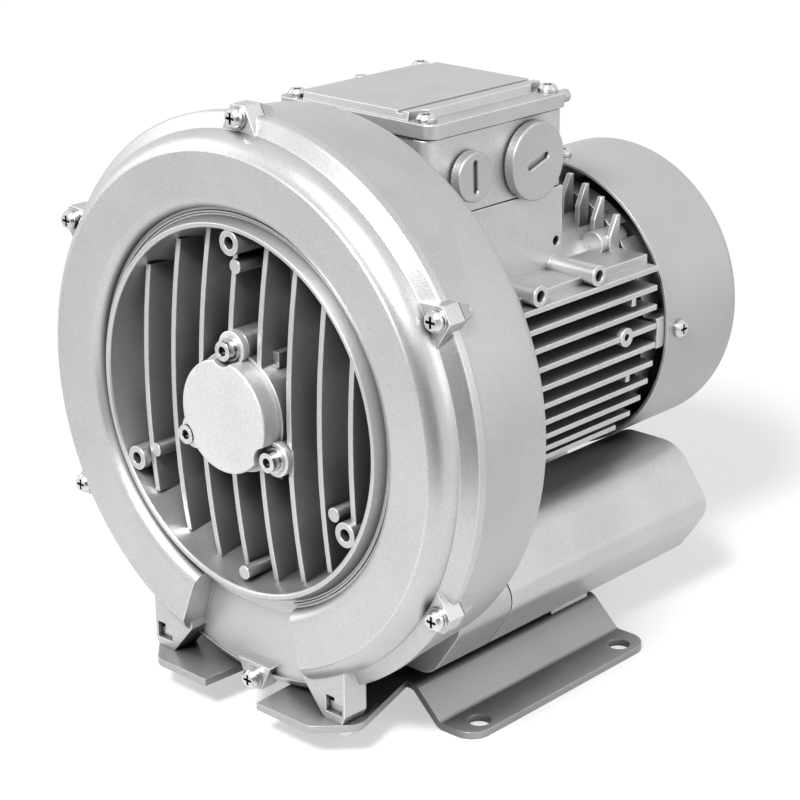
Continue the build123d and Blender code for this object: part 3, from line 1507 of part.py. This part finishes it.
with BuildPart() as plug_seals:
    flat_washer(box_side(large_plug_y, large_plug_z), large_plug_dia - 2 * seal_ring_inset,
                large_thread_dia, seal_ring)
    flat_washer(box_side(small_plug_y, small_plug_z), small_plug_dia - 2 * seal_ring_inset,
                small_thread_dia, seal_ring)

plug_seals.part.label = "plug_seals"
export_step(plug_seals.part, "parts/plug_seals.step")

block_z = box_bottom_z + box_wall
block_front_y = box_mid_y + block_offset_y
stud_points = [
    (k * stud_pitch, block_front_y + row * block_width / 4) for k in (-1, 0, 1) for row in (1, 3)
]
with BuildPart() as terminal_block:
    block(-block_length / 2, block_length / 2, block_front_y, block_front_y + block_width,
          block_z, block_z + block_height)
    for x, y in stud_points:
        rod(facing_up(x, y, block_z + block_height), stud_dia / 2 + fit_play, -stud_depth, Mode.SUBTRACT)

terminal_block.part.label = "terminal_block"
export_step(terminal_block.part, "parts/terminal_block.step")

with BuildPart() as terminal_studs:
    for x, y in stud_points:
        foot = facing_up(x, y, block_z + block_height)
        rod(foot, stud_dia / 2, -stud_depth)
        rod(foot, stud_dia / 2, stud_height)
        with BuildSketch(foot) as nut:
            RegularPolygon(stud_dia, 6)
        extrude(nut.sketch, amount=stud_dia * stud_nut_share)

terminal_studs.part.label = "terminal_studs"
export_step(terminal_studs.part, "parts/terminal_studs.step")

with BuildPart() as earth_screw:
    pan_screw(facing_up(earth_x, earth_y, block_z),
              m5_head_dia, m5_head_height, m4_dia, box_wall - clip_groove)

earth_screw.part.label = "earth_screw"
export_step(earth_screw.part, "parts/earth_screw.step")

# ---------------------------------------------------------------- silencers
silencer_front_y = stub_back_y + gasket_thickness
tube_mid_z = (tube_top + tube_bottom) / 2
port_front_y = silencer_end_y - port_length

with BuildPart() as silencer_gaskets:
    for side in (-1, 1):
        extrude(tube_face(silencer_front_y, side, hole_play), amount=gasket_thickness)
        extrude(tube_face(silencer_front_y, side, tube_wall), amount=gasket_thickness, mode=Mode.SUBTRACT)

silencer_gaskets.part.label = "silencer_gaskets"
export_step(silencer_gaskets.part, "parts/silencer_gaskets.step")

with BuildPart() as silencer_body:
    for side in (-1, 1):
        extrude(tube_face(silencer_end_y, side), amount=silencer_end_y - silencer_front_y)
    block(-silencer_x + tube_flat_half, silencer_x - tube_flat_half, silencer_front_y, silencer_end_y,
          bridge_top - bridge_thickness, bridge_top)
    for side in (-1, 1):
        block(side * silencer_x - foot_pad_size / 2, side * silencer_x + foot_pad_size / 2,
              rear_bolt_y - foot_pad_size / 2, rear_bolt_y + foot_pad_size / 2,
              hump_top, tube_bottom + tube_wall / 2)
        extrude(tube_face(silencer_end_y, side, tube_wall), amount=silencer_end_y - silencer_front_y,
                mode=Mode.SUBTRACT)
        rod(facing_up(side * silencer_x, rear_bolt_y, tube_bottom), m6_dia, foot_boss_height)
        rod(facing_up(side * silencer_x, rear_bolt_y, hump_top), m6_dia / 2 + fit_play,
            foot_thread_depth, Mode.SUBTRACT)
    for x in tube_screw_points:
        centre = (x, tube_side - axis_height)
        disc(tube_boss_dia / 2, silencer_front_y, silencer_front_y + tube_boss_length, centre=centre)
        disc(tube_boss_dia / 2, port_front_y, silencer_end_y - port_plate, centre=centre)
        disc(m4_dia / 2 + hole_play, silencer_front_y, silencer_front_y + tube_boss_length,
             Mode.SUBTRACT, centre)
        disc(m4_dia / 2 + fit_play, port_front_y, silencer_end_y - port_plate, Mode.SUBTRACT, centre)
    for side in (-1, 1):
        disc(port_dia / 2 + port_collar + hole_play, port_front_y - core_seat_length,
             silencer_end_y - port_plate, Mode.SUBTRACT, (side * silencer_x, tube_mid_z - axis_height))

silencer_body.part.label = "silencer_body"
export_step(silencer_body.part, "parts/silencer_body.step")

with BuildPart() as silencer_screws:
    for x in tube_screw_points:
        seat = facing_back(x, silencer_front_y + tube_boss_length, tube_side)
        socket_screw(seat, tube_head_dia, m4_head_height, m4_dia, tube_boss_length + tube_screw_reach)

silencer_screws.part.label = "silencer_screws"
export_step(silencer_screws.part, "parts/silencer_screws.step")

with BuildPart() as silencer_bolts:
    for side in (-1, 1):
        seat = Plane(origin=(side * silencer_x, rear_bolt_y, hump_rise), x_dir=(1, 0, 0), z_dir=(0, 0, -1))
        pan_screw(seat, m6_washer_head_dia, m6_head_height, m6_dia,
                  foot_thread_depth + sheet - washer_thickness)

silencer_bolts.part.label = "silencer_bolts"
export_step(silencer_bolts.part, "parts/silencer_bolts.step")


def port_flange(side):
    """End plate of a silencer with its threaded port and the seat of the perforated core."""
    centre = (side * silencer_x, tube_mid_z - axis_height)
    extrude(tube_face(silencer_end_y, side, tube_wall + fit_play), amount=port_plate)
    disc(port_dia / 2 + port_collar, port_front_y - core_seat_length, silencer_end_y - port_plate / 2,
         centre=centre)
    disc(port_dia / 2, port_front_y, silencer_end_y, Mode.SUBTRACT, centre)
    disc(core_r + fit_play, port_front_y - core_seat_length, port_front_y, Mode.SUBTRACT, centre)
    for end in (-1, 1):
        at = (side * silencer_x + end * tube_screw_x, tube_side - axis_height)
        disc(m4_dia / 2 + hole_play, silencer_end_y - port_plate, silencer_end_y, Mode.SUBTRACT, at)
        disc(tube_head_dia / 2 + hole_play, silencer_end_y - port_plate / 2, silencer_end_y,
             Mode.SUBTRACT, at)


with BuildPart() as inlet_flange:
    port_flange(-1)

inlet_flange.part.label = "inlet_flange"
export_step(inlet_flange.part, "parts/inlet_flange.step")

with BuildPart() as outlet_flange:
    port_flange(1)

outlet_flange.part.label = "outlet_flange"
export_step(outlet_flange.part, "parts/outlet_flange.step")

with BuildPart() as port_screws:
    for x in tube_screw_points:
        seat = Plane(origin=(x, silencer_end_y - port_plate / 2, tube_side), x_dir=(1, 0, 0),
                     z_dir=(0, 1, 0))
        socket_screw(seat, tube_head_dia, m4_head_height, m4_dia, port_plate / 2 + port_screw_reach)

port_screws.part.label = "port_screws"
export_step(port_screws.part, "parts/port_screws.step")


def perforated_core(side):
    """Perforated sheet tube along the middle of a silencer."""
    centre = (side * silencer_x, tube_mid_z - axis_height)
    disc(core_r, silencer_front_y + tube_boss_length, port_front_y - fit_play, centre=centre)
    disc(core_r - core_sheet, silencer_front_y + tube_boss_length, port_front_y - fit_play,
         Mode.SUBTRACT, centre)
    first = silencer_front_y + tube_boss_length + core_hole_margin
    step = (port_front_y - first - core_hole_margin) / (core_hole_rows - 1)
    for row in range(core_hole_rows):
        for angle in (0, 60, 120):
            a = radians(angle + 30 * (row % 2))
            drill = Plane(origin=(side * silencer_x - core_r * 1.1 * cos(a), first + row * step,
                                  tube_mid_z - core_r * 1.1 * sin(a)),
                          x_dir=(0, 1, 0), z_dir=(cos(a), 0, sin(a)))
            rod(drill, core_hole_dia / 2, 2.2 * core_r, Mode.SUBTRACT)


with BuildPart() as inlet_core:
    perforated_core(-1)

inlet_core.part.label = "inlet_core"
export_step(inlet_core.part, "parts/inlet_core.step")

with BuildPart() as outlet_core:
    perforated_core(1)

outlet_core.part.label = "outlet_core"
export_step(outlet_core.part, "parts/outlet_core.step")


def foam_liner(side):
    """Sound-absorbing foam between a perforated core and its tube."""
    start = silencer_front_y + tube_boss_length + foam_start_gap
    end = port_front_y - core_seat_length - foam_clearance
    extrude(tube_face(end, side, tube_wall + foam_clearance), amount=end - start)
    disc(core_r + foam_clearance, start, end, Mode.SUBTRACT, (side * silencer_x, tube_mid_z - axis_height))
    rod(facing_up(side * silencer_x, rear_bolt_y, tube_bottom), m6_dia + 2 * foam_clearance,
        foot_thread_depth, Mode.SUBTRACT)


with BuildPart() as inlet_foam:
    foam_liner(-1)

inlet_foam.part.label = "inlet_foam"
export_step(inlet_foam.part, "parts/inlet_foam.step")

with BuildPart() as outlet_foam:
    foam_liner(1)

outlet_foam.part.label = "outlet_foam"
export_step(outlet_foam.part, "parts/outlet_foam.step")
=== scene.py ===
import json
from math import radians

import bpy
import numpy as np
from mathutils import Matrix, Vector

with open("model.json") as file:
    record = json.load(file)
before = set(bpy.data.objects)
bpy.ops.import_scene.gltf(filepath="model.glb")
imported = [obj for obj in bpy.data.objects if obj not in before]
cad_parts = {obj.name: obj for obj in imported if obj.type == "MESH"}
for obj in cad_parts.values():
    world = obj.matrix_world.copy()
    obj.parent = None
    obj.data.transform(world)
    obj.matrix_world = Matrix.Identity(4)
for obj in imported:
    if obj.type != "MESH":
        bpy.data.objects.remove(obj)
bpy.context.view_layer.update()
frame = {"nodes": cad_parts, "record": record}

# Metres. The shaft runs along Y at SHAFT_Z and the lamps face MIDDLE. The front cover faces -Y and meets the
# rear casing at PARTING_Y, in a dark joint SEAM wide. The hollow of the cowl is painted dark as shade, within
# COWL_INNER_R of the shaft line and in front of COWL_INNER_Y, up to a soft border COWL_EDGE wide.
SHAFT_Z = 0.1305
PARTING_Y = -0.089
SEAM = 0.0006
COWL_INNER_R = 0.0634
COWL_INNER_Y = 0.1372
COWL_EDGE = 0.0004
MIDDLE = (0.0, 0.0, 0.12)

# Metres: the grain of a blasted casting, the rounding of a sharp edge and the reach of the shade in a corner.
BLAST_GRAIN = 0.0006
SHARP_EDGE = 0.0003
CORNER_REACH = 0.005

SHEETS_PER_METRE = 2000
FOAM_CELLS_PER_METRE = 700

# Parts of a noise over which a mask goes from 0 to 1: across its middle, into its pale and its dark specks.
MIDDLING = (0.3, 0.7)
PALE_SPECKS = (0.5, 0.8)
DARK_SPECKS = (0.5, 0.2)

# 1 minus the cosine of a rounded normal's lean, from where a painted edge highlight starts to its palest.
EDGE_LEAN = (0.01, 0.12)

# Rays traced for each rounded edge and each hollow of painted shade.
EDGE_SAMPLES = 6
GAP_SAMPLES = 8

# Sockets of the Mix node that belong to colours.
COLOUR_LOW, COLOUR_HIGH, COLOUR_OUT = 6, 7, 2

# Rays that see the white surroundings at full strength.
SEEING_RAYS = ("Is Camera Ray", "Is Glossy Ray", "Is Transmission Ray")


# ------------------------------------------------------------------ shader maths
class Value:
    """A number, colour or vector that varies over a surface: one output socket of a shader node."""

    def __init__(self, finish, socket):
        self.finish, self.socket = finish, socket

    def math(self, operation, *others):
        return self.finish.node("ShaderNodeMath", {"operation": operation}, dict(enumerate((self, *others))))

    def __add__(self, other):
        return self.math("ADD", other)

    def __mul__(self, other):
        return self.math("MULTIPLY", other)

    def __rsub__(self, other):
        return self.finish.node("ShaderNodeMath", {"operation": "SUBTRACT"}, {0: other, 1: self})

    __radd__ = __add__
    __rmul__ = __mul__

    def fade(self, low, high):
        """0 at low, 1 at high and a smooth slope between; low may be the larger."""
        limits = {"Value": self, "From Min": low, "From Max": high}
        return self.finish.node("ShaderNodeMapRange", {"interpolation_type": "SMOOTHSTEP"}, limits)


class Finish:
    """A material made of nodes around one Principled shader."""

    def __init__(self, name, **constants):
        self.material = bpy.data.materials.new(name)
        self.material.use_nodes = True
        self.tree = self.material.node_tree
        self.tree.nodes.clear()
        self.shader = self.tree.nodes.new("ShaderNodeBsdfPrincipled")
        surface = self.tree.nodes.new("ShaderNodeOutputMaterial")
        self.tree.links.new(self.shader.outputs[0], surface.inputs["Surface"])
        for socket, value in constants.items():
            self.shader.inputs[socket.replace("_", " ")].default_value = value
        self.place = self.node("ShaderNodeTexCoord", output="Object")

    def node(self, kind, settings=None, sockets=None, output=0):
        """Adds a node: settings first, then the values or links of its sockets."""
        node = self.tree.nodes.new(kind)
        for key, value in (settings or {}).items():
            setattr(node, key, value)
        for key, value in (sockets or {}).items():
            if isinstance(value, Value):
                self.tree.links.new(value.socket, node.inputs[key])
            else:
                node.inputs[key].default_value = value
        return Value(self, node.outputs[output])

    def noise(self, size, detail=2.0, stretch=(1, 1, 1)):
        """Cloudy noise from 0 to 1 whose patches are about size metres across."""
        place = self.node("ShaderNodeMapping", sockets={"Vector": self.place, "Scale": stretch})
        sockets = {"Vector": place, "Scale": 1 / size, "Detail": detail}
        return self.node("ShaderNodeTexNoise", sockets=sockets)

    def along(self, axis):
        """X, Y or Z of the surface point."""
        return self.node("ShaderNodeSeparateXYZ", sockets={"Vector": self.place}, output=axis)

    def length(self, vector):
        """Length of a vector, or how far a point is from the origin."""
        return self.node("ShaderNodeVectorMath", {"operation": "LENGTH"}, {0: vector}, "Value")

    def from_shaft(self):
        """Distance of the surface point from the shaft line."""
        sockets = {"Vector": self.place, "Scale": (1, 0, 1), "Location": (0, 0, -SHAFT_Z)}
        return self.length(self.node("ShaderNodeMapping", sockets=sockets))

    def mix(self, factor, low, high):
        """Colour that goes from low to high as the factor goes from 0 to 1."""
        sockets = {"Factor": factor, COLOUR_LOW: low, COLOUR_HIGH: high}
        return self.node("ShaderNodeMix", {"data_type": "RGBA"}, sockets, COLOUR_OUT)

    def rounded(self, radius):
        """Normal of the surface with its edges rounded."""
        return self.node("ShaderNodeBevel", {"samples": EDGE_SAMPLES}, {"Radius": radius})

    def bump(self, height, distance, normal=None, strength=1.0):
        """Normal of the surface raised by height times distance."""
        sockets = {"Height": height, "Distance": distance, "Strength": strength}
        if normal:
            sockets["Normal"] = normal
        return self.node("ShaderNodeBump", sockets=sockets)

    def closed_in(self, reach):
        """Mask of painted shade: 0 on open surfaces, towards 1 in corners and gaps with walls within reach.
        """
        settings = {"samples": GAP_SAMPLES}
        return 1 - self.node("ShaderNodeAmbientOcclusion", settings, {"Distance": reach}, "AO")

    def edge(self, rounded):
        """Mask of painted edge highlights, 0 on flats and 1 along edges: how far the rounded normal leans
        from the surface's own.
        """
        own = self.node("ShaderNodeNewGeometry", output="Normal")
        lean = self.node("ShaderNodeVectorMath", {"operation": "DOT_PRODUCT"}, {0: rounded, 1: own}, "Value")
        return (1 - lean).fade(*EDGE_LEAN)

    def feed(self, **links):
        """Links varying values to the Principled shader's sockets."""
        for socket, value in links.items():
            self.tree.links.new(value.socket, self.shader.inputs[socket.replace("_", " ")])
        return self.material


def grey(level, warmth=0.0):
    """A nearly neutral colour."""
    return (level * (1 + warmth), level, level * (1 - warmth), 1)


# ------------------------------------------------------------------ finishes
def cast_alloy(name, level, rough=0.30, edge=0.0007, depth=0.022, open_to=0.55, seam_y=None):
    """Fine-blasted aluminium casting: silver-grey with a fine grain, painted highlights along the edges and
    painted shade in corners and gaps.

    A hollow is painted darker, as shade, once more than open_to of the view within depth is walled in. With
    seam_y, the casting is dark up to SEAM behind that plane, where the joint runs.
    is dark up to SEAM behind that plane, where the joint runs.
    """
    finish = Finish(name, Metallic=0.82, Specular_IOR_Level=0.5)
    speckle = finish.noise(BLAST_GRAIN)
    cloud = finish.noise(0.03, detail=3.0)
    rounded = finish.rounded(edge)
    gap_shade = finish.closed_in(depth)
    corner_shade = finish.closed_in(CORNER_REACH)
    tone = finish.mix(cloud.fade(*MIDDLING), grey(level * 0.96, -0.008), grey(level * 1.04, -0.002))
    tone = finish.mix(speckle.fade(*PALE_SPECKS) * 0.5, tone, grey(level * 1.35))
    tone = finish.mix(speckle.fade(*DARK_SPECKS) * 0.4, tone, grey(level * 0.62))
    # Painted highlight: edges are paled, except in corners.
    tone = finish.mix(finish.edge(rounded) * (1 - corner_shade) * 0.75, tone, grey(0.93))
    # Painted shade: tight corners are darkened, then hollows walled in within depth are darkened further.
    tone = finish.mix(corner_shade.fade(0.3, 0.9) * 0.75, tone, grey(level * 0.2, 0.01))
    tone = finish.mix(gap_shade.fade(open_to, 0.95) * 0.95, tone, grey(level * 0.12, 0.01))
    if seam_y is not None:
        seam = finish.along("Y").fade(seam_y + SEAM, seam_y + SEAM / 2)
        tone = finish.mix(seam, tone, grey(0.03))
    roughness = rough + cloud * 0.08 + speckle * 0.08 + gap_shade * 0.2
    relief = finish.bump(speckle, 0.00012, rounded, strength=0.3)
    return finish.feed(Base_Color=tone, Roughness=roughness, Normal=relief)


def painted_sheet(name, level, rough=0.36, depth=0.02, open_to=0.4, inside=None):
    """Silver-grey enamel on pressed sheet with a faint orange peel.

    With inside, a radius from the shaft line and a Y, the sheet is painted dark within that radius and in
    front of that Y, as shade over the hollow of a cowl.
    """
    finish = Finish(name, Metallic=0.6, Specular_IOR_Level=0.45)
    speckle = finish.noise(BLAST_GRAIN)
    cloud = finish.noise(0.05)
    rounded = finish.rounded(0.0005)
    gap_shade = finish.closed_in(depth)
    tone = finish.mix(cloud.fade(*MIDDLING), grey(level * 0.96), grey(level * 1.04))
    tone = finish.mix(speckle.fade(*PALE_SPECKS) * 0.4, tone, grey(level * 1.3))
    tone = finish.mix(speckle.fade(*DARK_SPECKS) * 0.3, tone, grey(level * 0.7))
    # Painted highlight along the edges away from gaps, then painted shade in hollows walled in within depth.
    tone = finish.mix(finish.edge(rounded) * (1 - gap_shade) * 0.6, tone, grey(0.88))
    tone = finish.mix(gap_shade.fade(open_to, open_to + 0.5) * 0.95, tone, grey(level * 0.1))
    # Painted shade: the hollow of the cowl is painted nearly black.
    if inside:
        inner_r, back_y = inside
        within = finish.from_shaft().fade(inner_r, inner_r - COWL_EDGE)
        in_front = finish.along("Y").fade(back_y, back_y - COWL_EDGE)
        tone = finish.mix(within * in_front, tone, grey(0.015))
    relief = finish.bump(speckle, 0.0001, rounded, strength=0.3)
    return finish.feed(Base_Color=tone, Roughness=rough + cloud * 0.1, Normal=relief)


def plated_steel(name, level, rough=0.2):
    """Bright zinc plate on fasteners: polished crowns, painted highlights on the edges, painted shade in the
    sockets and in rings under the heads.
    """
    finish = Finish(name, Metallic=1.0)
    haze = finish.noise(0.002, detail=3.0)
    rounded = finish.rounded(SHARP_EDGE)
    gap_shade = finish.closed_in(0.004)
    tone = finish.mix(haze.fade(0.3, 0.75), grey(level * 0.88, 0.012), grey(level * 1.1, 0.006))
    # Painted highlight along the edges, then painted shade in sockets and under the heads.
    tone = finish.mix(finish.edge(rounded) * (1 - gap_shade) * 0.6, tone, grey(0.95))
    tone = finish.mix(gap_shade.fade(0.25, 0.75) * 0.95, tone, grey(level * 0.06, 0.03))
    relief = finish.bump(haze, 0.00005, rounded, strength=0.4)
    return finish.feed(Base_Color=tone, Roughness=rough + haze * 0.15, Normal=relief)


def turned_metal(name, level, warmth=0.0):
    """Machined metal: fine rings left by the tool round the shaft line."""
    finish = Finish(name, Metallic=1.0)
    rings = finish.noise(0.0009, stretch=(0.05, 1, 0.05))
    haze = finish.noise(0.01)
    tone = finish.mix(rings.fade(*MIDDLING), grey(level * 0.85, warmth), grey(level * 1.1, warmth))
    relief = finish.bump(rings, 0.00004, finish.rounded(SHARP_EDGE), strength=0.4)
    return finish.feed(Base_Color=tone, Roughness=0.18 + haze * 0.2, Normal=relief)


def moulded(name, colour, rough=0.55):
    """Moulded plastic or rubber with a fine matt texture."""
    finish = Finish(name, Metallic=0.0)
    texture = finish.noise(0.0008, detail=3.0)
    cloud = finish.noise(0.02)
    dark = tuple(part * 0.75 for part in colour) + (1,)
    pale = tuple(part * 1.3 + 0.01 for part in colour) + (1,)
    tone = finish.mix(texture.fade(*MIDDLING) * 0.6 + cloud * 0.4, dark, pale)
    relief = finish.bump(texture, 0.0001, finish.rounded(SHARP_EDGE), strength=0.5)
    return finish.feed(Base_Color=tone, Roughness=rough + cloud * 0.1, Normal=relief)


def laminated(name, level):
    """Stacked electrical steel sheets: lines square to the shaft, one sheet apart."""
    finish = Finish(name, Metallic=0.8)
    line = (finish.along("Y") * SHEETS_PER_METRE).math("FRACT").fade(0.6, 1.0)
    cloud = finish.noise(0.01, detail=3.0)
    tone = finish.mix(line * 0.7, grey(level * 1.2), grey(level * 0.4))
    relief = finish.bump(1 - line, 0.0001)
    return finish.feed(Base_Color=tone, Roughness=0.45 + cloud * 0.2, Normal=relief)


def wound(name):
    """Varnished copper winding: fine wires side by side round the end of the stator."""
    finish = Finish(name, Metallic=0.7, Coat_Roughness=0.2)
    wires = finish.noise(0.0011, detail=1.0, stretch=(1, 0.25, 1))
    tone = finish.mix(wires.fade(0.35, 0.65), (0.20, 0.06, 0.02, 1), (0.72, 0.33, 0.13, 1))
    relief = finish.bump(wires, 0.0004)
    return finish.feed(Base_Color=tone, Roughness=0.3 + wires * 0.2, Normal=relief)


def foam(name):
    """Open-cell absorber foam."""
    finish = Finish(name)
    sockets = {"Vector": finish.place, "Scale": FOAM_CELLS_PER_METRE}
    cell = finish.node("ShaderNodeTexVoronoi", sockets=sockets)
    tone = finish.mix(cell.fade(0.1, 0.6), (0.02, 0.02, 0.022, 1), (0.12, 0.12, 0.125, 1))
    relief = finish.bump(cell, 0.0006)
    return finish.feed(Base_Color=tone, Roughness=0.85 + cell * 0.1, Normal=relief)


# One finish for each of the record's material slots.
FINISHES = {
    "cast_aluminium": cast_alloy("cast_alloy", 0.52),
    "painted_sheet": painted_sheet("painted_sheet", 0.48),
    "zinc_steel": plated_steel("plated_steel", 0.62),
    "plug_alloy": cast_alloy("plug_alloy", 0.44, rough=0.32, edge=0.0004),
    "rubber_seal": moulded("rubber_seal", (0.03, 0.03, 0.032), 0.6),
    "turned_steel": turned_metal("turned_steel", 0.62),
    "bearing_steel": turned_metal("bearing_steel", 0.75),
    "impeller_alloy": cast_alloy("impeller_alloy", 0.55),
    "electrical_steel": laminated("electrical_steel", 0.28),
    "winding_copper": wound("winding_copper"),
    "fan_plastic": moulded("fan_plastic", (0.045, 0.045, 0.05)),
    "terminal_plastic": moulded("terminal_plastic", (0.05, 0.045, 0.04)),
    "terminal_brass": turned_metal("terminal_brass", 0.6, 0.3),
    "absorber_foam": foam("absorber_foam"),
    "perforated_sheet": plated_steel("perforated_sheet", 0.6, 0.35),
}
# Nodes whose casting or sheet differs in tone, gloss or depth of painted shade from the rest of their slot,
# and the cowl, whose hollow is painted dark as shade.
OWN_FINISHES = {
    "front_cover": cast_alloy("cover_alloy", 0.50, rough=0.26, open_to=0.33),
    "rear_casing": cast_alloy("casing_alloy", 0.45, rough=0.34, seam_y=PARTING_Y),
    "terminal_lid": cast_alloy("lid_alloy", 0.46, rough=0.36),
    "fan_cowl": painted_sheet("cowl_enamel", 0.44, inside=(COWL_INNER_R, COWL_INNER_Y)),
    "base_plate": painted_sheet("base_enamel", 0.42, rough=0.3, depth=0.06, open_to=0.3),
    "bearing_cap": cast_alloy("cap_alloy", 0.66, rough=0.42),
}
slot_of = {part["node"]: part["material_slot"] for part in frame["record"]["subparts"]}
for node, piece in frame["nodes"].items():
    for material_slot in piece.material_slots:
        material_slot.material = OWN_FINISHES.get(node, FINISHES[slot_of[node]])


# ------------------------------------------------------------------ floor, light and camera
def seeing_rays(nodes, links):
    """Socket that is 1 for the rays that see the white surroundings and 0 for the others."""
    path = nodes.new("ShaderNodeLightPath")
    total = path.outputs[SEEING_RAYS[0]]
    for ray in SEEING_RAYS[1:]:
        either = nodes.new("ShaderNodeMath")
        either.operation = "MAXIMUM"
        links.new(total, either.inputs[0])
        links.new(path.outputs[ray], either.inputs[1])
        total = either.outputs[0]
    return total


def flat_sheet(name, corners, finish):
    """Flat four-cornered sheet of the studio."""
    mesh = bpy.data.meshes.new(name)
    mesh.from_pydata(corners, [], [(0, 1, 2, 3)])
    mesh.materials.append(finish.material)
    sheet = bpy.data.objects.new(name, mesh)
    bpy.context.scene.collection.objects.link(sheet)
    return sheet


def studio_floor(half, drop, level, glow, near, far):
    """White floor just under the base: it takes the shadow within near and is plain white beyond far."""
    finish = Finish("floor", Roughness=0.9, Specular_IOR_Level=0.1)
    out = finish.length(finish.place).fade(near, far)
    finish.feed(Base_Color=finish.mix(out, grey(level), grey(0.0)),
                Emission_Color=finish.mix(out, grey(glow), grey(1.0)))
    nodes, links = finish.tree.nodes, finish.tree.links
    links.new(seeing_rays(nodes, links), finish.shader.inputs["Emission Strength"])
    square = np.array([(-half, -half, 0), (half, -half, 0), (half, half, 0), (-half, half, 0)])
    sheet = flat_sheet("floor", (square - (0, 0, drop)).tolist(), finish)


def studio_world(ambient):
    """Even surroundings: full white to the camera and in mirrors, dimmer as light on the object."""
    world = bpy.data.worlds.new("studio")
    world.use_nodes = True
    nodes, links = world.node_tree.nodes, world.node_tree.links
    background = nodes["Background"]
    background.inputs["Color"].default_value = (1, 1, 1, 1)
    level = nodes.new("ShaderNodeMath")
    level.operation = "MULTIPLY_ADD"
    level.inputs[1].default_value = 1 - ambient
    level.inputs[2].default_value = ambient
    links.new(seeing_rays(nodes, links), level.inputs[0])
    links.new(level.outputs[0], background.inputs["Strength"])
    bpy.context.scene.world = world


def dark_card(position, width, height, level):
    """Upright dark board, square to the line from the object, that shows only as a dark band in metal."""
    finish = Finish("card", Base_Color=grey(level), Roughness=0.9, Specular_IOR_Level=0.1)
    across = Vector((-position[1], position[0], 0)).normalized() * width / 2
    base, up = Vector(position), Vector((0, 0, height))
    card = flat_sheet("card", [base - across, base + across, base + across + up, base - across + up], finish)
    card.visible_camera = card.visible_diffuse = card.visible_shadow = card.visible_transmission = False


def softbox(name, position, size, power):
    """Rectangular lamp that faces the middle of the object."""
    lamp = bpy.data.lights.new(name, "AREA")
    lamp.shape, lamp.energy = "RECTANGLE", power
    lamp.size, lamp.size_y = size
    holder = bpy.data.objects.new(name, lamp)
    bpy.context.scene.collection.objects.link(holder)
    holder.location = position
    holder.rotation_euler = (Vector(MIDDLE) - Vector(position)).to_track_quat("-Z", "Y").to_euler()


def long_lens(position, turn, rise, focal, shift):
    """Camera turned to the right of the front and looking down, in degrees, with a shifted frame."""
    lens = bpy.data.cameras.new("camera")
    lens.sensor_width, lens.lens = 36.0, focal
    lens.shift_x, lens.shift_y = shift
    lens.clip_start, lens.clip_end = 0.05, 20.0
    holder = bpy.data.objects.new("camera", lens)
    bpy.context.scene.collection.objects.link(holder)
    holder.location = position
    holder.rotation_euler = (radians(90 - rise), 0.0, radians(turn))
    bpy.context.scene.camera = holder


bpy.context.scene.view_settings.view_transform = "Standard"
studio_floor(half=3.0, drop=0.0002, level=0.5, glow=0.52, near=0.28, far=0.55)
studio_world(ambient=0.32)
softbox("key", (0.42, -1.15, 1.35), (0.45, 0.35), power=42)
softbox("left", (-1.5, -0.8, 0.8), (1.0, 1.2), power=6)
softbox("right", (1.6, 0.6, 0.9), (1.2, 1.2), power=8)
dark_card((0.26, -0.40, 0.0), width=0.34, height=0.34, level=0.01)
long_lens((0.59141, -0.64323, 0.42737), turn=41.80, rise=18.28, focal=100.57, shift=(-0.0593, -0.0890))
